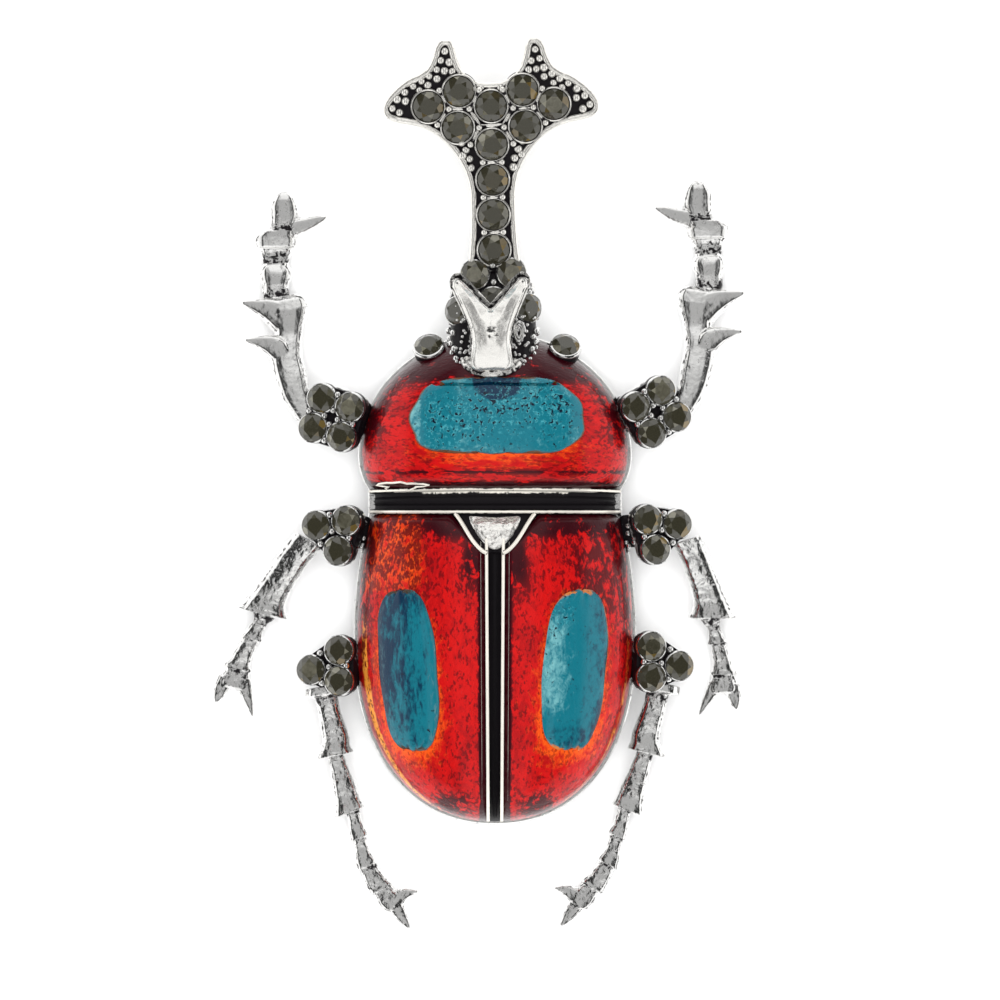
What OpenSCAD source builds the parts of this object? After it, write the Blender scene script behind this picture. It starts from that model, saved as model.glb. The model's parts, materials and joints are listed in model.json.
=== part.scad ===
// Rhinoceros beetle brooch: one cast metal body with two horns and six legs, enamel on the neck
// shield and the wing cases, cut glass stones in cups, and a riveted pin in the hollow back.
// Millimetres. +Y points to the horn, +Z to the viewer, and the claws stand on z = 0.

/* [Wing cases] */
// Width across both wing cases
wings_w = 21.9; // [20:0.1:24]
// Length from the waist to the tail
wings_l = 24.3; // [21:0.1:27]
// Height above the back rim
wings_h = 7.0; // [6:0.1:8]
// Share of the length in front of the widest place
wings_mid = 0.41; // [0.35:0.005:0.5]
// Width of the ridge where the two cases meet
ridge_w = 1.6; // [1.2:0.1:2.4]
// Width of the triangle plate behind the waist
plate_w = 6.2; // [4:0.1:8]
// Length of the triangle plate
plate_l = 3.1; // [2:0.1:4.5]

/* [Neck shield] */
// Width of the shield
shield_w = 21.2; // [19:0.2:24]
// Length from the waist to the front rim
shield_l = 12.2; // [11:0.1:13.5]
// Height above the back rim
shield_h = 6.8; // [6:0.1:8]
// Share of the length behind the widest place
shield_mid = 0.22; // [0.16:0.01:0.3]

/* [Shell] */
// Thickness of the enamel
enamel_t = 0.8; // [0.5:0.05:1]
// Thickness of the metal under it
metal_t = 1.2; // [0.9:0.05:1.5]
// Thickness of the rim around the open back
rim_t = 0.5; // [0.3:0.05:0.8]
// How far the rim stands out of the enamel
rim_out = 0.24; // [0.2:0.02:0.4]
// Height of the back rim above the floor
back_z = 2.6; // [2:0.1:3.2]
// Clearance around enamel and stones
gap = 0.05; // [0.04:0.01:0.08]
// How far rails and rims stand up out of what they frame
relief = 0.16; // [0.1:0.02:0.25]
// Width of a rail
rail_w = 0.36; // [0.25:0.01:0.5]
// Width of the band between shield and wing cases
waist_l = 1.95; // [1.5:0.05:2.6]
// How deep the band lies under its rails
waist_drop = 0.35; // [0.2:0.05:0.6]

/* [Enamel drops] */
// Length of a teal drop on a wing case
wing_drop_l = 12.2; // [9:0.1:14]
// Width of a teal drop on a wing case
wing_drop_w = 4.7; // [3.5:0.1:5.5]
// Width of the teal drop on the shield
shield_drop_w = 13.6; // [10:0.1:14.5]
// Length of the teal drop on the shield
shield_drop_l = 5.0; // [4:0.1:5.4]
// Thickness of a drop
drop_t = 0.3; // [0.2:0.02:0.5]

/* [Stones] */
// Diameter of the stones on the horn
horn_stone_d = 2.4; // [2:0.05:2.8]
// Diameter of the stones on the head and at the eyes
head_stone_d = 2.1; // [1.8:0.05:2.3]
// Diameter of the stones on the leg roots
leg_stone_d = 2.1; // [1.8:0.05:2.4]
// Metal left between two stones
seat_wall = 0.22; // [0.15:0.01:0.4]
// Wall of a cup around its stone
cup_wall = 0.2; // [0.15:0.01:0.3]
// Diameter of a bead of the granulation
bead_d = 0.62; // [0.4:0.02:0.8]

/* [Head and horns] */
// Width of the head
head_w = 6.8; // [6:0.1:7.6]
// Length of the head in front of the shield
head_l = 7.3; // [6.8:0.1:7.8]
// Height of the head above the back rim
head_h = 4.9; // [4.4:0.1:5.4]
// Thickness of the long horn
horn_t = 2.2; // [1.6:0.1:2.8]
// Rise of the long horn, in degrees
horn_rise = 8; // [4:0.5:12]
// Lean of both horns to the left, in degrees
horn_lean = 1.2; // [0:0.1:2]
// Length of the crest horn
crest_l = 8.9; // [7.5:0.1:10]
// Span of the crest horn across its tips
crest_span = 6.0; // [5:0.1:7]
// Thickness of the crest horn
crest_t = 1.1; // [0.8:0.1:1.5]
// Rise of the crest horn, in degrees
crest_rise = 29; // [22:1:36]

/* [Legs] */
// Height of the leg roots' stones above the floor
root_z = 5.5; // [5:0.1:6.2]
// Thickness of a leg root
root_t = 1.8; // [1.4:0.1:2.2]
// Outward lean of a leg root, in degrees
root_lean = 14; // [8:1:20]
// Thickness of a leg as a share of its width
leg_flatness = 0.62; // [0.5:0.02:0.75]
// Height of a claw
claw_h = 1.1; // [0.9:0.05:1.4]
// Front leg roots, left and right: distance out of the shield's edge
front_out = [2.85, 2.85]; // [2.4:0.1:3.4]
// Front leg roots, left and right: distance in front of the waist
front_y = [5.65, 6.1]; // [4.5:0.05:7]
// Front leg roots, left and right: turn of the four stones, in degrees
front_twist = [17, 32]; // [0:1:40]
// Front legs, left and right: length from root to ankle
front_reach = [13.3, 13.6]; // [12:0.1:15]
// Front legs, left and right: outward turn from straight ahead, in degrees
front_turn = [8.2, 6.5]; // [0:0.1:14]
// Middle leg roots, left and right: distance out of the wing case's edge
middle_out = [2.7, 3.0]; // [2.4:0.1:3.4]
// Middle leg roots, left and right: distance behind the wing cases' front edge
middle_y = [1.45, 1.35]; // [0.8:0.05:3]
// Middle legs, left and right: length from root to ankle
middle_reach = [11.1, 10.5]; // [9:0.1:12]
// Middle legs, left and right: outward turn from straight back, in degrees
middle_turn = [31, 17.5]; // [10:1:40]
// Hind leg roots, left and right: distance out of the wing case's edge
hind_out = [2.2, 2.2]; // [1.9:0.1:3]
// Hind leg roots, left and right: distance behind the wing cases' front edge
hind_y = [12.0, 11.7]; // [10:0.1:14]
// Hind legs, left and right: length from root to ankle
hind_reach = [15.8, 16.2]; // [14:0.1:18]
// Hind legs, left and right: outward turn from straight back, in degrees
hind_turn = [-16.2, -19]; // [-24:0.1:-8]
// Hind legs, left and right: distance of the hip out of the middle of the root
hind_hip_out = [0, -0.5]; // [-0.8:0.05:0.8]

/* [Pin] */
// Length of the pin's bar
bar_l = 24; // [20:0.5:25]
// Width of the bar
bar_w = 4.4; // [3.6:0.1:5]
// Thickness of the bar
bar_t = 0.8; // [0.6:0.05:1]
// Distance between the two rivets
rivet_span = 15; // [13:0.5:16]
// Diameter of a rivet
rivet_d = 1.7; // [1.4:0.1:2]
// Diameter of the pin stem
stem_d = 0.9; // [0.7:0.05:1]
// Height of the pin stem above the floor
stem_z = 1.1; // [1:0.05:1.3]
// Room for cloth between the rivets and the stem
cloth_gap = 2.0; // [1.6:0.1:2.2]

/* [Hidden] */
STONE_NAMES = [
    ["horn_stone", 11],
    ["head_stone", 5],
    ["front_left_stone", 4],
    ["front_right_stone", 4],
    ["middle_left_stone", 3],
    ["middle_right_stone", 3],
    ["hind_left_stone", 3],
    ["hind_right_stone", 3],
];

LEFT = -1;
RIGHT = 1;
METAL = "silver";
RED = "orangered";
TEAL = "teal";
SMOKE = "dimgray";
CUP_SIDES = 12;
STONE_SIDES = 16;
TABLE_SIDES = 8;

// The body's middle plane and its waist, measured from the middle of the whole brooch
body_shift = [1.26, 0, 0];
shield_back_y = -0.3;
wings_front_y = shield_back_y - waist_l;

base_z = back_z + rim_t;
shoulder = 2.3;

// Columns of a dome. Its round end is a superellipse in plan, and each end of its profile falls by
// its own power.
HALF = 0;
TOP = 1;
MID = 2;
FRONT = 3;
BACK = 4;
FRONT_FALL = 5;
BACK_FALL = 6;
FRONT_POWER = 7;
BACK_POWER = 8;
ROUND_END = 9;
ROUND_POWER = 10;

wings_mid_l = wings_l * wings_mid;
wings_end_l = wings_l - wings_mid_l;
wing_dome = [
    wings_w / 2,
    wings_h - rim_t,
    wings_front_y - wings_mid_l,
    2.23 * wings_mid_l,
    wings_end_l,
    1.15 * wings_mid_l,
    wings_end_l,
    3,
    2.6,
    BACK,
    2.2,
];
shield_mid_l = shield_l * shield_mid;
shield_front_l = shield_l - shield_mid_l;
shield_dome = [
    shield_w / 2,
    shield_h - rim_t,
    shield_back_y + shield_mid_l,
    shield_front_l,
    2.6 * shield_mid_l,
    1.02 * shield_front_l,
    1.2 * shield_mid_l,
    2.2,
    3,
    FRONT,
    2,
];

// Height share at a distance share from the middle of a superellipse
function bulge(share, power) = pow(max(0, 1 - pow(abs(share), power)), 1 / power);
function mix(a, b, t) = a + (b - a) * t;
function is_front(dome, y) = y > dome[MID];
function half_at(dome, y) =
    let (end = is_front(dome, y) ? FRONT : BACK)
    dome[HALF] * bulge((y - dome[MID]) / dome[end], end == dome[ROUND_END] ? dome[ROUND_POWER] : 2);
function top_at(dome, y) =
    dome[TOP] * (is_front(dome, y)
        ? bulge((y - dome[MID]) / dome[FRONT_FALL], dome[FRONT_POWER])
        : bulge((y - dome[MID]) / dome[BACK_FALL], dome[BACK_POWER]));
// The same dome a wall further in: its round end moves in too, its end at the waist stays
function inset(dome, wall) = [for (k = [0:len(dome) - 1])
    k == HALF || k == TOP ? dome[k] - wall :
    k == dome[ROUND_END] || k == dome[ROUND_END] + 2 ? dome[k] - wall : dome[k]];
function inset_y(dome, y, wall) =
    is_front(dome, y) == (dome[ROUND_END] == FRONT)
        ? mix(dome[MID], y, 1 - wall / dome[dome[ROUND_END]])
        : y;
// A point of the arch over one station; the angle runs from the right rim, 0, to the left, 180
function arch_point(half, top, y, angle) = [
    half * sign(cos(angle)) * pow(abs(cos(angle)), 2 / shoulder),
    y,
    base_z + top * pow(abs(sin(angle)), 2 / shoulder)
];
function arch_angle(half, x) = acos(pow(min(1, x / half), shoulder / 2));
function skin_z(dome, x, y) = base_z + top_at(dome, y) * bulge(x / half_at(dome, y), shoulder);

// Shares of a dome's length at which it has a station, closer together at the round end
WING_STATIONS = [0, 0.04, 0.09, 0.16, 0.25, 0.36, 0.48, 0.6, 0.71, 0.8, 0.875, 0.93, 0.965, 0.987];
SHIELD_STATIONS = [0, 0.05, 0.12, 0.22, 0.34, 0.46, 0.58, 0.69, 0.79, 0.87, 0.935, 0.98];
CORE_STATIONS = [0, 0.1, 0.25, 0.45, 0.62, 0.77, 0.88, 0.95, 0.985];
function wing_y(share) = wings_front_y - share * wings_l;
function shield_y(share) = shield_back_y + share * shield_l;

// Solid between two grids of points that have the same rows and columns
module slab(top, bottom) {
    rows = len(top);
    cols = len(top[0]);
    below = rows * cols;
    function at(i, j) = i * cols + j;
    border = concat(
        [for (j = [0:cols - 1]) at(0, j)],
        [for (i = [1:rows - 1]) at(i, cols - 1)],
        [for (j = [cols - 2:-1:0]) at(rows - 1, j)],
        [for (i = [rows - 2:-1:1]) at(i, 0)]
    );
    rim = len(border);
    faces = concat(
        [for (i = [0:rows - 2]) for (j = [0:cols - 2]) each [
            [at(i, j), at(i + 1, j + 1), at(i, j + 1)],
            [at(i, j), at(i + 1, j), at(i + 1, j + 1)],
            [below + at(i, j), below + at(i, j + 1), below + at(i + 1, j + 1)],
            [below + at(i, j), below + at(i + 1, j + 1), below + at(i + 1, j)]
        ]],
        [for (k = [0:rim - 1]) let (a = border[k], b = border[(k + 1) % rim]) each [
            [a, below + b, below + a],
            [a, b, below + b]
        ]]
    );
    polyhedron([for (row = top) each row, for (row = bottom) each row], faces);
}

// Solid through a row of rings; its two ends are low cones
module loft(rings) {
    sides = len(rings[0]);
    last = len(rings) - 1;
    count = sides * (last + 1);
    cone = 0.08;
    function middle(ring) = (ring[0] + ring[sides / 2]) / 2;
    function end_point(ring, neighbour) =
        let (run = middle(ring) - middle(neighbour))
        middle(ring) + run * cone / norm(run);
    points = concat(
        [for (ring = rings) each ring],
        [end_point(rings[0], rings[1]), end_point(rings[last], rings[last - 1])]
    );
    faces = [for (k = [0:sides - 1]) let (n = (k + 1) % sides) each concat(
        [for (i = [0:last - 1]) each [
            [i * sides + k, (i + 1) * sides + n, i * sides + n],
            [i * sides + k, (i + 1) * sides + k, (i + 1) * sides + n]
        ]],
        [[k, n, count], [last * sides + n, last * sides + k, count + 1]]
    )];
    polyhedron(points, faces);
}

// Body shell

// Rows of arches over the given places, from a rim to a rim
function dome_grid(dome, places, cols, wall) = [
    for (y = places)
        let (inner = inset(dome, wall), station = inset_y(dome, y, wall))
        [for (j = [0:cols]) arch_point(half_at(inner, station), top_at(inner, station), station, 180 * j / cols)]
];
function flattened(grid, z) = [for (row = grid) [for (p = row) [p[0], p[1], z]]];
function reversed_rows(grid) = [for (i = [len(grid) - 1:-1:0]) grid[i]];

module dome_body(dome, places, cols, wall, floor_z) {
    grid = dome_grid(dome, places, cols, wall);
    ordered = places[0] > places[1] ? grid : reversed_rows(grid);
    slab(ordered, flattened(ordered, floor_z));
}

module waist_arch(half, top, y_front, y_back, floor_z) {
    grid = [for (y = [y_front, y_back]) [for (j = [0:12]) arch_point(half, top, y, 15 * j)]];
    slab(grid, flattened(grid, floor_z));
}

waist_half = half_at(wing_dome, wings_front_y);
waist_top = top_at(wing_dome, wings_front_y);

module rim() {
    wing_places = [for (share = CORE_STATIONS) wing_y(share)];
    shield_places = [for (share = CORE_STATIONS) shield_y(share)];
    right = concat(
        [for (i = [len(shield_places) - 1:-1:0]) [half_at(shield_dome, shield_places[i]), shield_places[i]]],
        [for (y = wing_places) [half_at(wing_dome, y), y]]
    );
    left = [for (i = [len(right) - 1:-1:0]) [-right[i][0], right[i][1]]];
    tail = [0, wings_front_y - wings_l];
    front = [0, shield_back_y + shield_l];
    translate([0, 0, back_z])
        linear_extrude(rim_t)
            offset(delta = rim_out)
                polygon(concat([front], right, [tail], left));
}

module waist() {
    waist_arch(
        waist_half - waist_drop,
        waist_top - waist_drop,
        shield_back_y + gap / 2,
        wings_front_y - gap / 2,
        back_z
    );
    for (y = [shield_back_y - gap, wings_front_y + gap + rail_w])
        waist_arch(waist_half, waist_top + relief, y, y - rail_w, back_z);
}

hollow_wall = enamel_t + 2 * gap + metal_t;

module hollow() {
    below = back_z - 1;
    dome_body(wing_dome, [for (share = CORE_STATIONS) wing_y(share)], 10, hollow_wall, below);
    dome_body(shield_dome, [for (share = CORE_STATIONS) shield_y(share)], 10, hollow_wall, below);
    waist_arch(
        waist_half - waist_drop - metal_t,
        waist_top - waist_drop - metal_t,
        shield_back_y + 2,
        wings_front_y - 2,
        below
    );
}

module body_shell() {
    dome_body(wing_dome, [for (share = CORE_STATIONS) wing_y(share)], 12, enamel_t + 2 * gap, back_z);
    dome_body(shield_dome, [for (share = CORE_STATIONS) shield_y(share)], 12, enamel_t + 2 * gap, back_z);
    rim();
    waist();
    ridge();
    triangle_plate();
}

// A strip along the middle of the wing cases, its top raised over the enamel's skin
module ridge_strip(middle, half, lift) {
    places = [for (share = concat([for (s = WING_STATIONS) if (s > 0.09) s], [1])) wing_y(share)];
    seat = inset(wing_dome, enamel_t + 2 * gap + metal_t / 3);
    sides = [middle + half, middle - half];
    slab(
        [for (y = places) [for (x = sides) [x, y, base_z + top_at(wing_dome, y) + lift]]],
        [for (y = places) [for (x = sides) [x, y, base_z - rim_t / 2 + top_at(seat, y)]]]
    );
}

module ridge() {
    ridge_strip(0, ridge_w / 2, -relief);
    for (side = [LEFT, RIGHT])
        ridge_strip(side * (ridge_w - rail_w) / 2, rail_w / 2, relief);
}

// Corners of the triangle plate, as shares of its half width and its length
PLATE_CORNERS = [[1, 0], [0, 1], [-1, 0]];
module plate_post(corner, scale_by, radius, lift) {
    x = corner[0] * scale_by * plate_w / 2;
    y = wings_front_y - plate_l * mix(0.33, corner[1], scale_by);
    top = skin_z(wing_dome, x, y) + lift;
    translate([x, y, base_z])
        cylinder(r = radius, h = top - base_z, $fn = 8);
}

module triangle_plate() {
    hull()
        for (corner = PLATE_CORNERS)
            plate_post(corner, 1, rail_w / 2, -relief);
    for (k = [0, 1])
        hull()
            for (corner = [PLATE_CORNERS[k], PLATE_CORNERS[k + 1]])
                plate_post(corner, 1, rail_w / 2, relief);
    hull()
        for (corner = PLATE_CORNERS)
            plate_post(corner, 0.55, rail_w, relief);
}

// Enamel

// Half width of what the enamel leaves bare along the middle: the ridge or the triangle plate
plate_slope = norm([plate_w / 2, plate_l]) / plate_l;
function bare_half(y) = gap + max(
    ridge_w / 2,
    plate_slope * (rail_w / 2 + gap) + plate_w / 2 * (1 - (wings_front_y - y) / plate_l)
);
function wing_grid(wall) = [
    for (share = WING_STATIONS)
        let (
            y = wing_y(share) - gap,
            inner = inset(wing_dome, wall),
            station = inset_y(wing_dome, y, wall),
            half = half_at(inner, station),
            inside = arch_angle(half, bare_half(y))
        )
        [for (j = [0:9]) arch_point(half, top_at(inner, station), station, inside * j / 9) + [0, 0, gap]]
];

module wing_enamel() {
    slab(wing_grid(0), wing_grid(enamel_t));
}

// The shield's enamel ends further back in the middle, where the head and the crest horn stand
shield_front_rim = 0.79;
shield_front_middle = 0.70;
SHIELD_COLUMNS = 16;
function shield_end(angle) =
    let (t = min(1, max(0, (min(angle, 180 - angle) - 38) / 26)))
    mix(shield_front_rim, shield_front_middle, t);
function shield_grid(wall) = [
    for (i = [len(SHIELD_STATIONS) - 1:-1:0])
        [for (j = [0:SHIELD_COLUMNS])
            let (
                angle = 180 * j / SHIELD_COLUMNS,
                share = SHIELD_STATIONS[i] / SHIELD_STATIONS[len(SHIELD_STATIONS) - 1],
                y = shield_y(share * shield_end(angle)) + gap,
                inner = inset(shield_dome, wall),
                station = inset_y(shield_dome, y, wall)
            )
            arch_point(half_at(inner, station), top_at(inner, station), station, angle) + [0, 0, gap]]
];

module shield_enamel() {
    slab(shield_grid(0), shield_grid(enamel_t));
}

// A drop of enamel that lies on a dome: rounded in plan, thinner at its edge, leaning by slant
module drop(dome, middle, width, length, slant, cols) {
    rows = 7;
    power = 3.2;
    places = [for (i = [0:rows]) 0.985 * sin(90 * (1 - 2 * i / rows))];
    function place(t, u) = [
        middle[0] + slant * t + u * width / 2 * bulge(t, power),
        middle[1] + t * length / 2
    ];
    function lifted(t, u, lift) =
        let (p = place(t, u))
        [p[0], p[1], skin_z(dome, p[0], p[1]) + lift];
    edge = 0.45;
    seat = 3 * gap;
    slab(
        [for (t = places) [for (j = [0:cols]) let (u = 1 - 2 * j / cols)
            lifted(t, u, seat + drop_t * mix(edge, 1, bulge(t, power) * bulge(u, 3)))]],
        [for (t = places) [for (j = [0:cols]) lifted(t, 1 - 2 * j / cols, seat)]]
    );
}

// Middle of each drop: out from the middle plane as a share of the half width, then along the body
WING_DROP_OUT = [0.622, 0.564];
WING_DROP_ALONG = 0.515;
SHIELD_DROP_ALONG = 0.475;
module wing_drop(side) {
    out = WING_DROP_OUT[side == LEFT ? 0 : 1] * wings_w / 2;
    drop(wing_dome, [side * out, wing_y(WING_DROP_ALONG)], wing_drop_w, wing_drop_l, side * 0.5, 5);
}

// Stones and their cups

// A seat is the middle of a stone's girdle, the rotation of its frame, and the stone's diameter
PLACE = 0;
TURN = 1;
SIZE = 2;

function turned_x(p, a) = [p[0], p[1] * cos(a) - p[2] * sin(a), p[1] * sin(a) + p[2] * cos(a)];
function turned_y(p, a) = [p[0] * cos(a) + p[2] * sin(a), p[1], p[2] * cos(a) - p[0] * sin(a)];
function turned_z(p, a) = [p[0] * cos(a) - p[1] * sin(a), p[0] * sin(a) + p[1] * cos(a), p[2]];
function turned(p, turn) = turned_z(turned_y(turned_x(p, turn[0]), turn[1]), turn[2]);

function stone_ring(radius, z, sides, start) = [
    for (k = [0:sides - 1])
        let (a = start + 360 * k / sides)
        [radius * cos(a), radius * sin(a), z]
];
pavilion_share = 0.62;
crown_share = 0.34;
table_share = 0.56;

module stone(d) {
    r = d / 2;
    table = TABLE_SIDES;
    points = concat(
        stone_ring(r * table_share, r * crown_share, table, 0),
        stone_ring(r, 0, STONE_SIDES, 0),
        [[0, 0, -r * pavilion_share]]
    );
    point = len(points) - 1;
    function girdle(k) = table + (k + STONE_SIDES) % STONE_SIDES;
    faces = concat(
        [[for (k = [table - 1:-1:0]) k]],
        [for (k = [0:table - 1]) let (n = (k + 1) % table) each [
            [k, girdle(2 * k), girdle(2 * k - 1)],
            [k, girdle(2 * k + 1), girdle(2 * k)],
            [k, n, girdle(2 * k + 1)]
        ]],
        [for (k = [0:STONE_SIDES - 1]) [girdle(k), girdle(k + 1), point]]
    );
    color(SMOKE) polyhedron(points, faces);
}

module in_seat(seat) {
    translate(seat[PLACE]) rotate(seat[TURN]) children();
}

module seated_stone(seat) {
    in_seat(seat) stone(seat[SIZE]);
}

function cup_r(size) = size / 2 + gap + cup_wall;

// Plan of a group of cups around the given spots
module cup_plan(spots, r) {
    for (spot = spots)
        translate(spot)
            circle(r = r, $fn = CUP_SIDES);
}

module cups(spots, size) {
    depth = size / 2 * pavilion_share + 0.35;
    translate([0, 0, -depth])
        linear_extrude(depth)
            cup_plan(spots, cup_r(size));
}

module cup(seat) {
    in_seat(seat) cups([[0, 0]], seat[SIZE]);
}

// A pocket of a stone's shape, which goes on widening over the cup
module cup_pocket(seat) {
    wide = (seat[SIZE] / 2 + gap) / cos(180 / CUP_SIDES);
    depth = wide * pavilion_share;
    in_seat(seat)
        translate([0, 0, -depth])
            cylinder(r1 = 0, r2 = 1.7 * wide, h = 1.7 * depth, $fn = CUP_SIDES);
}

// Leg roots: a pad of stones beside the body

leg_pitch = leg_stone_d + 2 * gap + seat_wall;
// Stones of a root, and the hip where its leg starts, in pitches: outward and forward
FRONT_STONES = [[-0.5, 0.5], [0.5, 0.5], [-0.5, -0.5], [0.5, -0.5]];
MIDDLE_STONES = [[0.56, 0.22], [-0.45, 0.38], [-0.17, -0.6]];
HIND_STONES = [[0.62, -0.12], [-0.32, 0.52], [-0.32, -0.48]];
FRONT_HIP = [0.9, 0.55];
MIDDLE_HIP = [0.72, -0.55];

function place_of(pair, side) = pair[side == LEFT ? 0 : 1];
function root_middle(dome, out, y, side) = [side * (half_at(dome, y) + out), y, root_z];
function front_root(side) =
    root_middle(shield_dome, place_of(front_out, side), shield_back_y + place_of(front_y, side), side);
function middle_root(side) =
    root_middle(wing_dome, place_of(middle_out, side), wings_front_y - place_of(middle_y, side), side);
function hind_root(side) =
    root_middle(wing_dome, place_of(hind_out, side), wings_front_y - place_of(hind_y, side), side);

function root_turn(side) = [0, side * root_lean, 0];
function root_spots(stones, side, twist) = [
    for (s = stones)
        let (flat = turned_z([s[0] * leg_pitch, s[1] * leg_pitch, 0], twist))
        [side * flat[0], flat[1]]
];
function front_spots(side) = root_spots(FRONT_STONES, side, place_of(front_twist, side));
function middle_spots(side) = root_spots(MIDDLE_STONES, side, 0);
function hind_spots(side) = root_spots(HIND_STONES, side, 0);

function root_seats(middle, spots, side) = [
    for (spot = spots)
        [middle + turned([spot[0], spot[1], 0], root_turn(side)), root_turn(side), leg_stone_d]
];
function front_seats(side) = root_seats(front_root(side), front_spots(side), side);
function middle_seats(side) = root_seats(middle_root(side), middle_spots(side), side);
function hind_seats(side) = root_seats(hind_root(side), hind_spots(side), side);

module root_pad(middle, spots, side) {
    flange = 0.12;
    translate(middle) rotate(root_turn(side)) {
        translate([0, 0, -root_t])
            linear_extrude(root_t - 0.4)
                hull() cup_plan(spots, cup_r(leg_stone_d) + flange);
        cups(spots, leg_stone_d);
    }
}

// The arm that joins a pad to the body's rim
module root_arm(middle, dome, side) {
    arm_w = 2.8;
    hull() {
        for (k = [-1:1]) {
            y = middle[1] + k * arm_w / 2;
            translate([side * (half_at(dome, y) + rim_out), y, back_z])
                cylinder(r = rim_out / 2, h = rim_t, $fn = 6);
        }
        translate([middle[0], middle[1], root_z - root_t])
            cylinder(d = arm_w, h = root_t - 0.5, $fn = 10);
    }
}

// Legs

// A leg's piece is a row of sections. Columns: along the leg, outward of its line, and half width,
// all as shares of the leg's reach
ALONG = 0;
ASIDE = 1;
SPREAD = 2;

HIND_LEG = [
    // Thigh with its bell
    [[-0.03, 0, 0.05], [0.13, 0.01, 0.043], [0.215, 0.01, 0.045], [0.265, 0.045, 0.092]],
    // Shin with its bell
    [[0.25, 0.036, 0.036], [0.31, 0.033, 0.035], [0.43, 0.034, 0.053], [0.555, 0.038, 0.078]],
    // Three toes
    [[0.54, 0.037, 0.03], [0.59, 0.037, 0.033], [0.7, 0.041, 0.045]],
    [[0.69, 0.043, 0.03], [0.735, 0.044, 0.031], [0.838, 0.044, 0.049]],
    [[0.825, 0.044, 0.034], [0.87, 0.04, 0.04], [0.966, 0.011, 0.058]],
    // Claw: palm and two prongs
    [[0.95, 0.008, 0.04], [1.0, 0, 0.046], [1.075, -0.03, 0.055]],
    [[1.045, -0.02, 0.036], [1.06, -0.09, 0.022], [1.064, -0.149, 0.01]],
    [[1.04, -0.025, 0.042], [1.13, -0.045, 0.032], [1.211, -0.065, 0.013]],
];
MIDDLE_LEG = [
    [[-0.06, 0, 0.11], [0.15, 0.035, 0.115], [0.4, 0.055, 0.128], [0.52, 0.05, 0.132], [0.575, 0.045, 0.16]],
    [[0.56, 0.06, 0.08], [0.6, 0.06, 0.085], [0.71, 0.028, 0.072], [0.75, 0.02, 0.092]],
    [[0.73, 0.02, 0.05], [0.79, 0.018, 0.058], [0.92, 0.006, 0.08], [1.0, 0, 0.096]],
    [[0.98, 0, 0.062], [1.04, -0.01, 0.07], [1.13, -0.036, 0.088]],
    [[1.08, -0.01, 0.05], [1.19, 0.03, 0.032], [1.28, 0.046, 0.013]],
    [[1.08, -0.055, 0.055], [1.18, -0.15, 0.036], [1.26, -0.248, 0.013]],
];
FRONT_LEG = [
    // Shin with its two spikes
    [
        [-0.04, 0.03, 0.107],
        [0.1, 0.076, 0.107],
        [0.206, 0.09, 0.1],
        [0.283, 0.08, 0.095],
        [0.367, 0.04, 0.087],
        [0.457, 0.036, 0.11],
        [0.536, 0.043, 0.13],
        [0.612, 0.068, 0.1],
    ],
    [[0.5, -0.01, 0.085], [0.583, 0.2, 0.04], [0.62, 0.29, 0.012]],
    [[0.27, 0.05, 0.07], [0.357, 0.22, 0.036], [0.405, 0.303, 0.012]],
    // Neck, knuckle, neck, knuckle, ankle
    [[0.6, 0.07, 0.055], [0.71, 0.075, 0.055]],
    [[0.695, 0.078, 0.065], [0.757, 0.07, 0.095], [0.808, 0.065, 0.082]],
    [[0.79, 0.065, 0.06], [0.88, 0.05, 0.06]],
    [[0.87, 0.048, 0.105], [0.93, 0.037, 0.138], [0.98, 0.015, 0.1]],
    [[0.96, 0.01, 0.072], [1.04, 0, 0.072]],
    // Claw: thumb and side prong
    [[1.02, 0, 0.07], [1.094, -0.02, 0.085], [1.18, -0.038, 0.075], [1.246, -0.045, 0.035]],
    [[1.04, -0.01, 0.06], [1.05, -0.146, 0.045], [1.06, -0.244, 0.018]],
];

hip_z = root_z - root_t + 0.35;
finest_half = 0.24;

// Eight-sided ring of a leg: flat above and below, as broad as its section says
RING_ANGLES = [for (k = [0:7]) 22.5 + 45 * k];
function leg_ring(hip, heading, across, side, reach, row, upright) =
    let (
        half = row[SPREAD] * reach,
        high = max(finest_half, min(leg_flatness * half, claw_h)),
        claw = claw_h / 2,
        fall = pow(max(0, 1 - row[ALONG]), 1.1),
        z = max(min(high, claw), mix(claw, hip_z, fall)),
        thick = row[ALONG] > 0.93 ? min(high, claw) : high,
        middle = hip + row[ALONG] * reach * heading + row[ASIDE] * reach * across,
        grow = 1 / cos(22.5)
    )
    [for (a = RING_ANGLES)
        [middle[0], middle[1], max(thick, z)]
        + [upright[0], upright[1], 0] * half * cos(a) * grow
        + [0, 0, thick * sin(a) * grow]];

module leg_piece(hip, heading, across, side, reach, rows) {
    first = rows[0];
    last = rows[len(rows) - 1];
    run = (last[ALONG] - first[ALONG]) * heading + (last[ASIDE] - first[ASIDE]) * across;
    way = run / norm(run);
    upright = [-way[1], way[0]];
    loft([for (row = rows) leg_ring(hip, heading, across, side, reach, row, upright)]);
}

// A leg from its hip; ahead is 1 for a front leg and -1 for the others
module leg(pieces, middle, hip_share, side, ahead, reach, turn) {
    hip = [middle[0] + side * hip_share[0] * leg_pitch, middle[1] + hip_share[1] * leg_pitch];
    heading = [side * sin(turn), ahead * cos(turn)];
    across = [side * cos(turn), -ahead * sin(turn)];
    for (rows = pieces)
        leg_piece(hip, heading, across, side, reach, rows);
}

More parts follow.
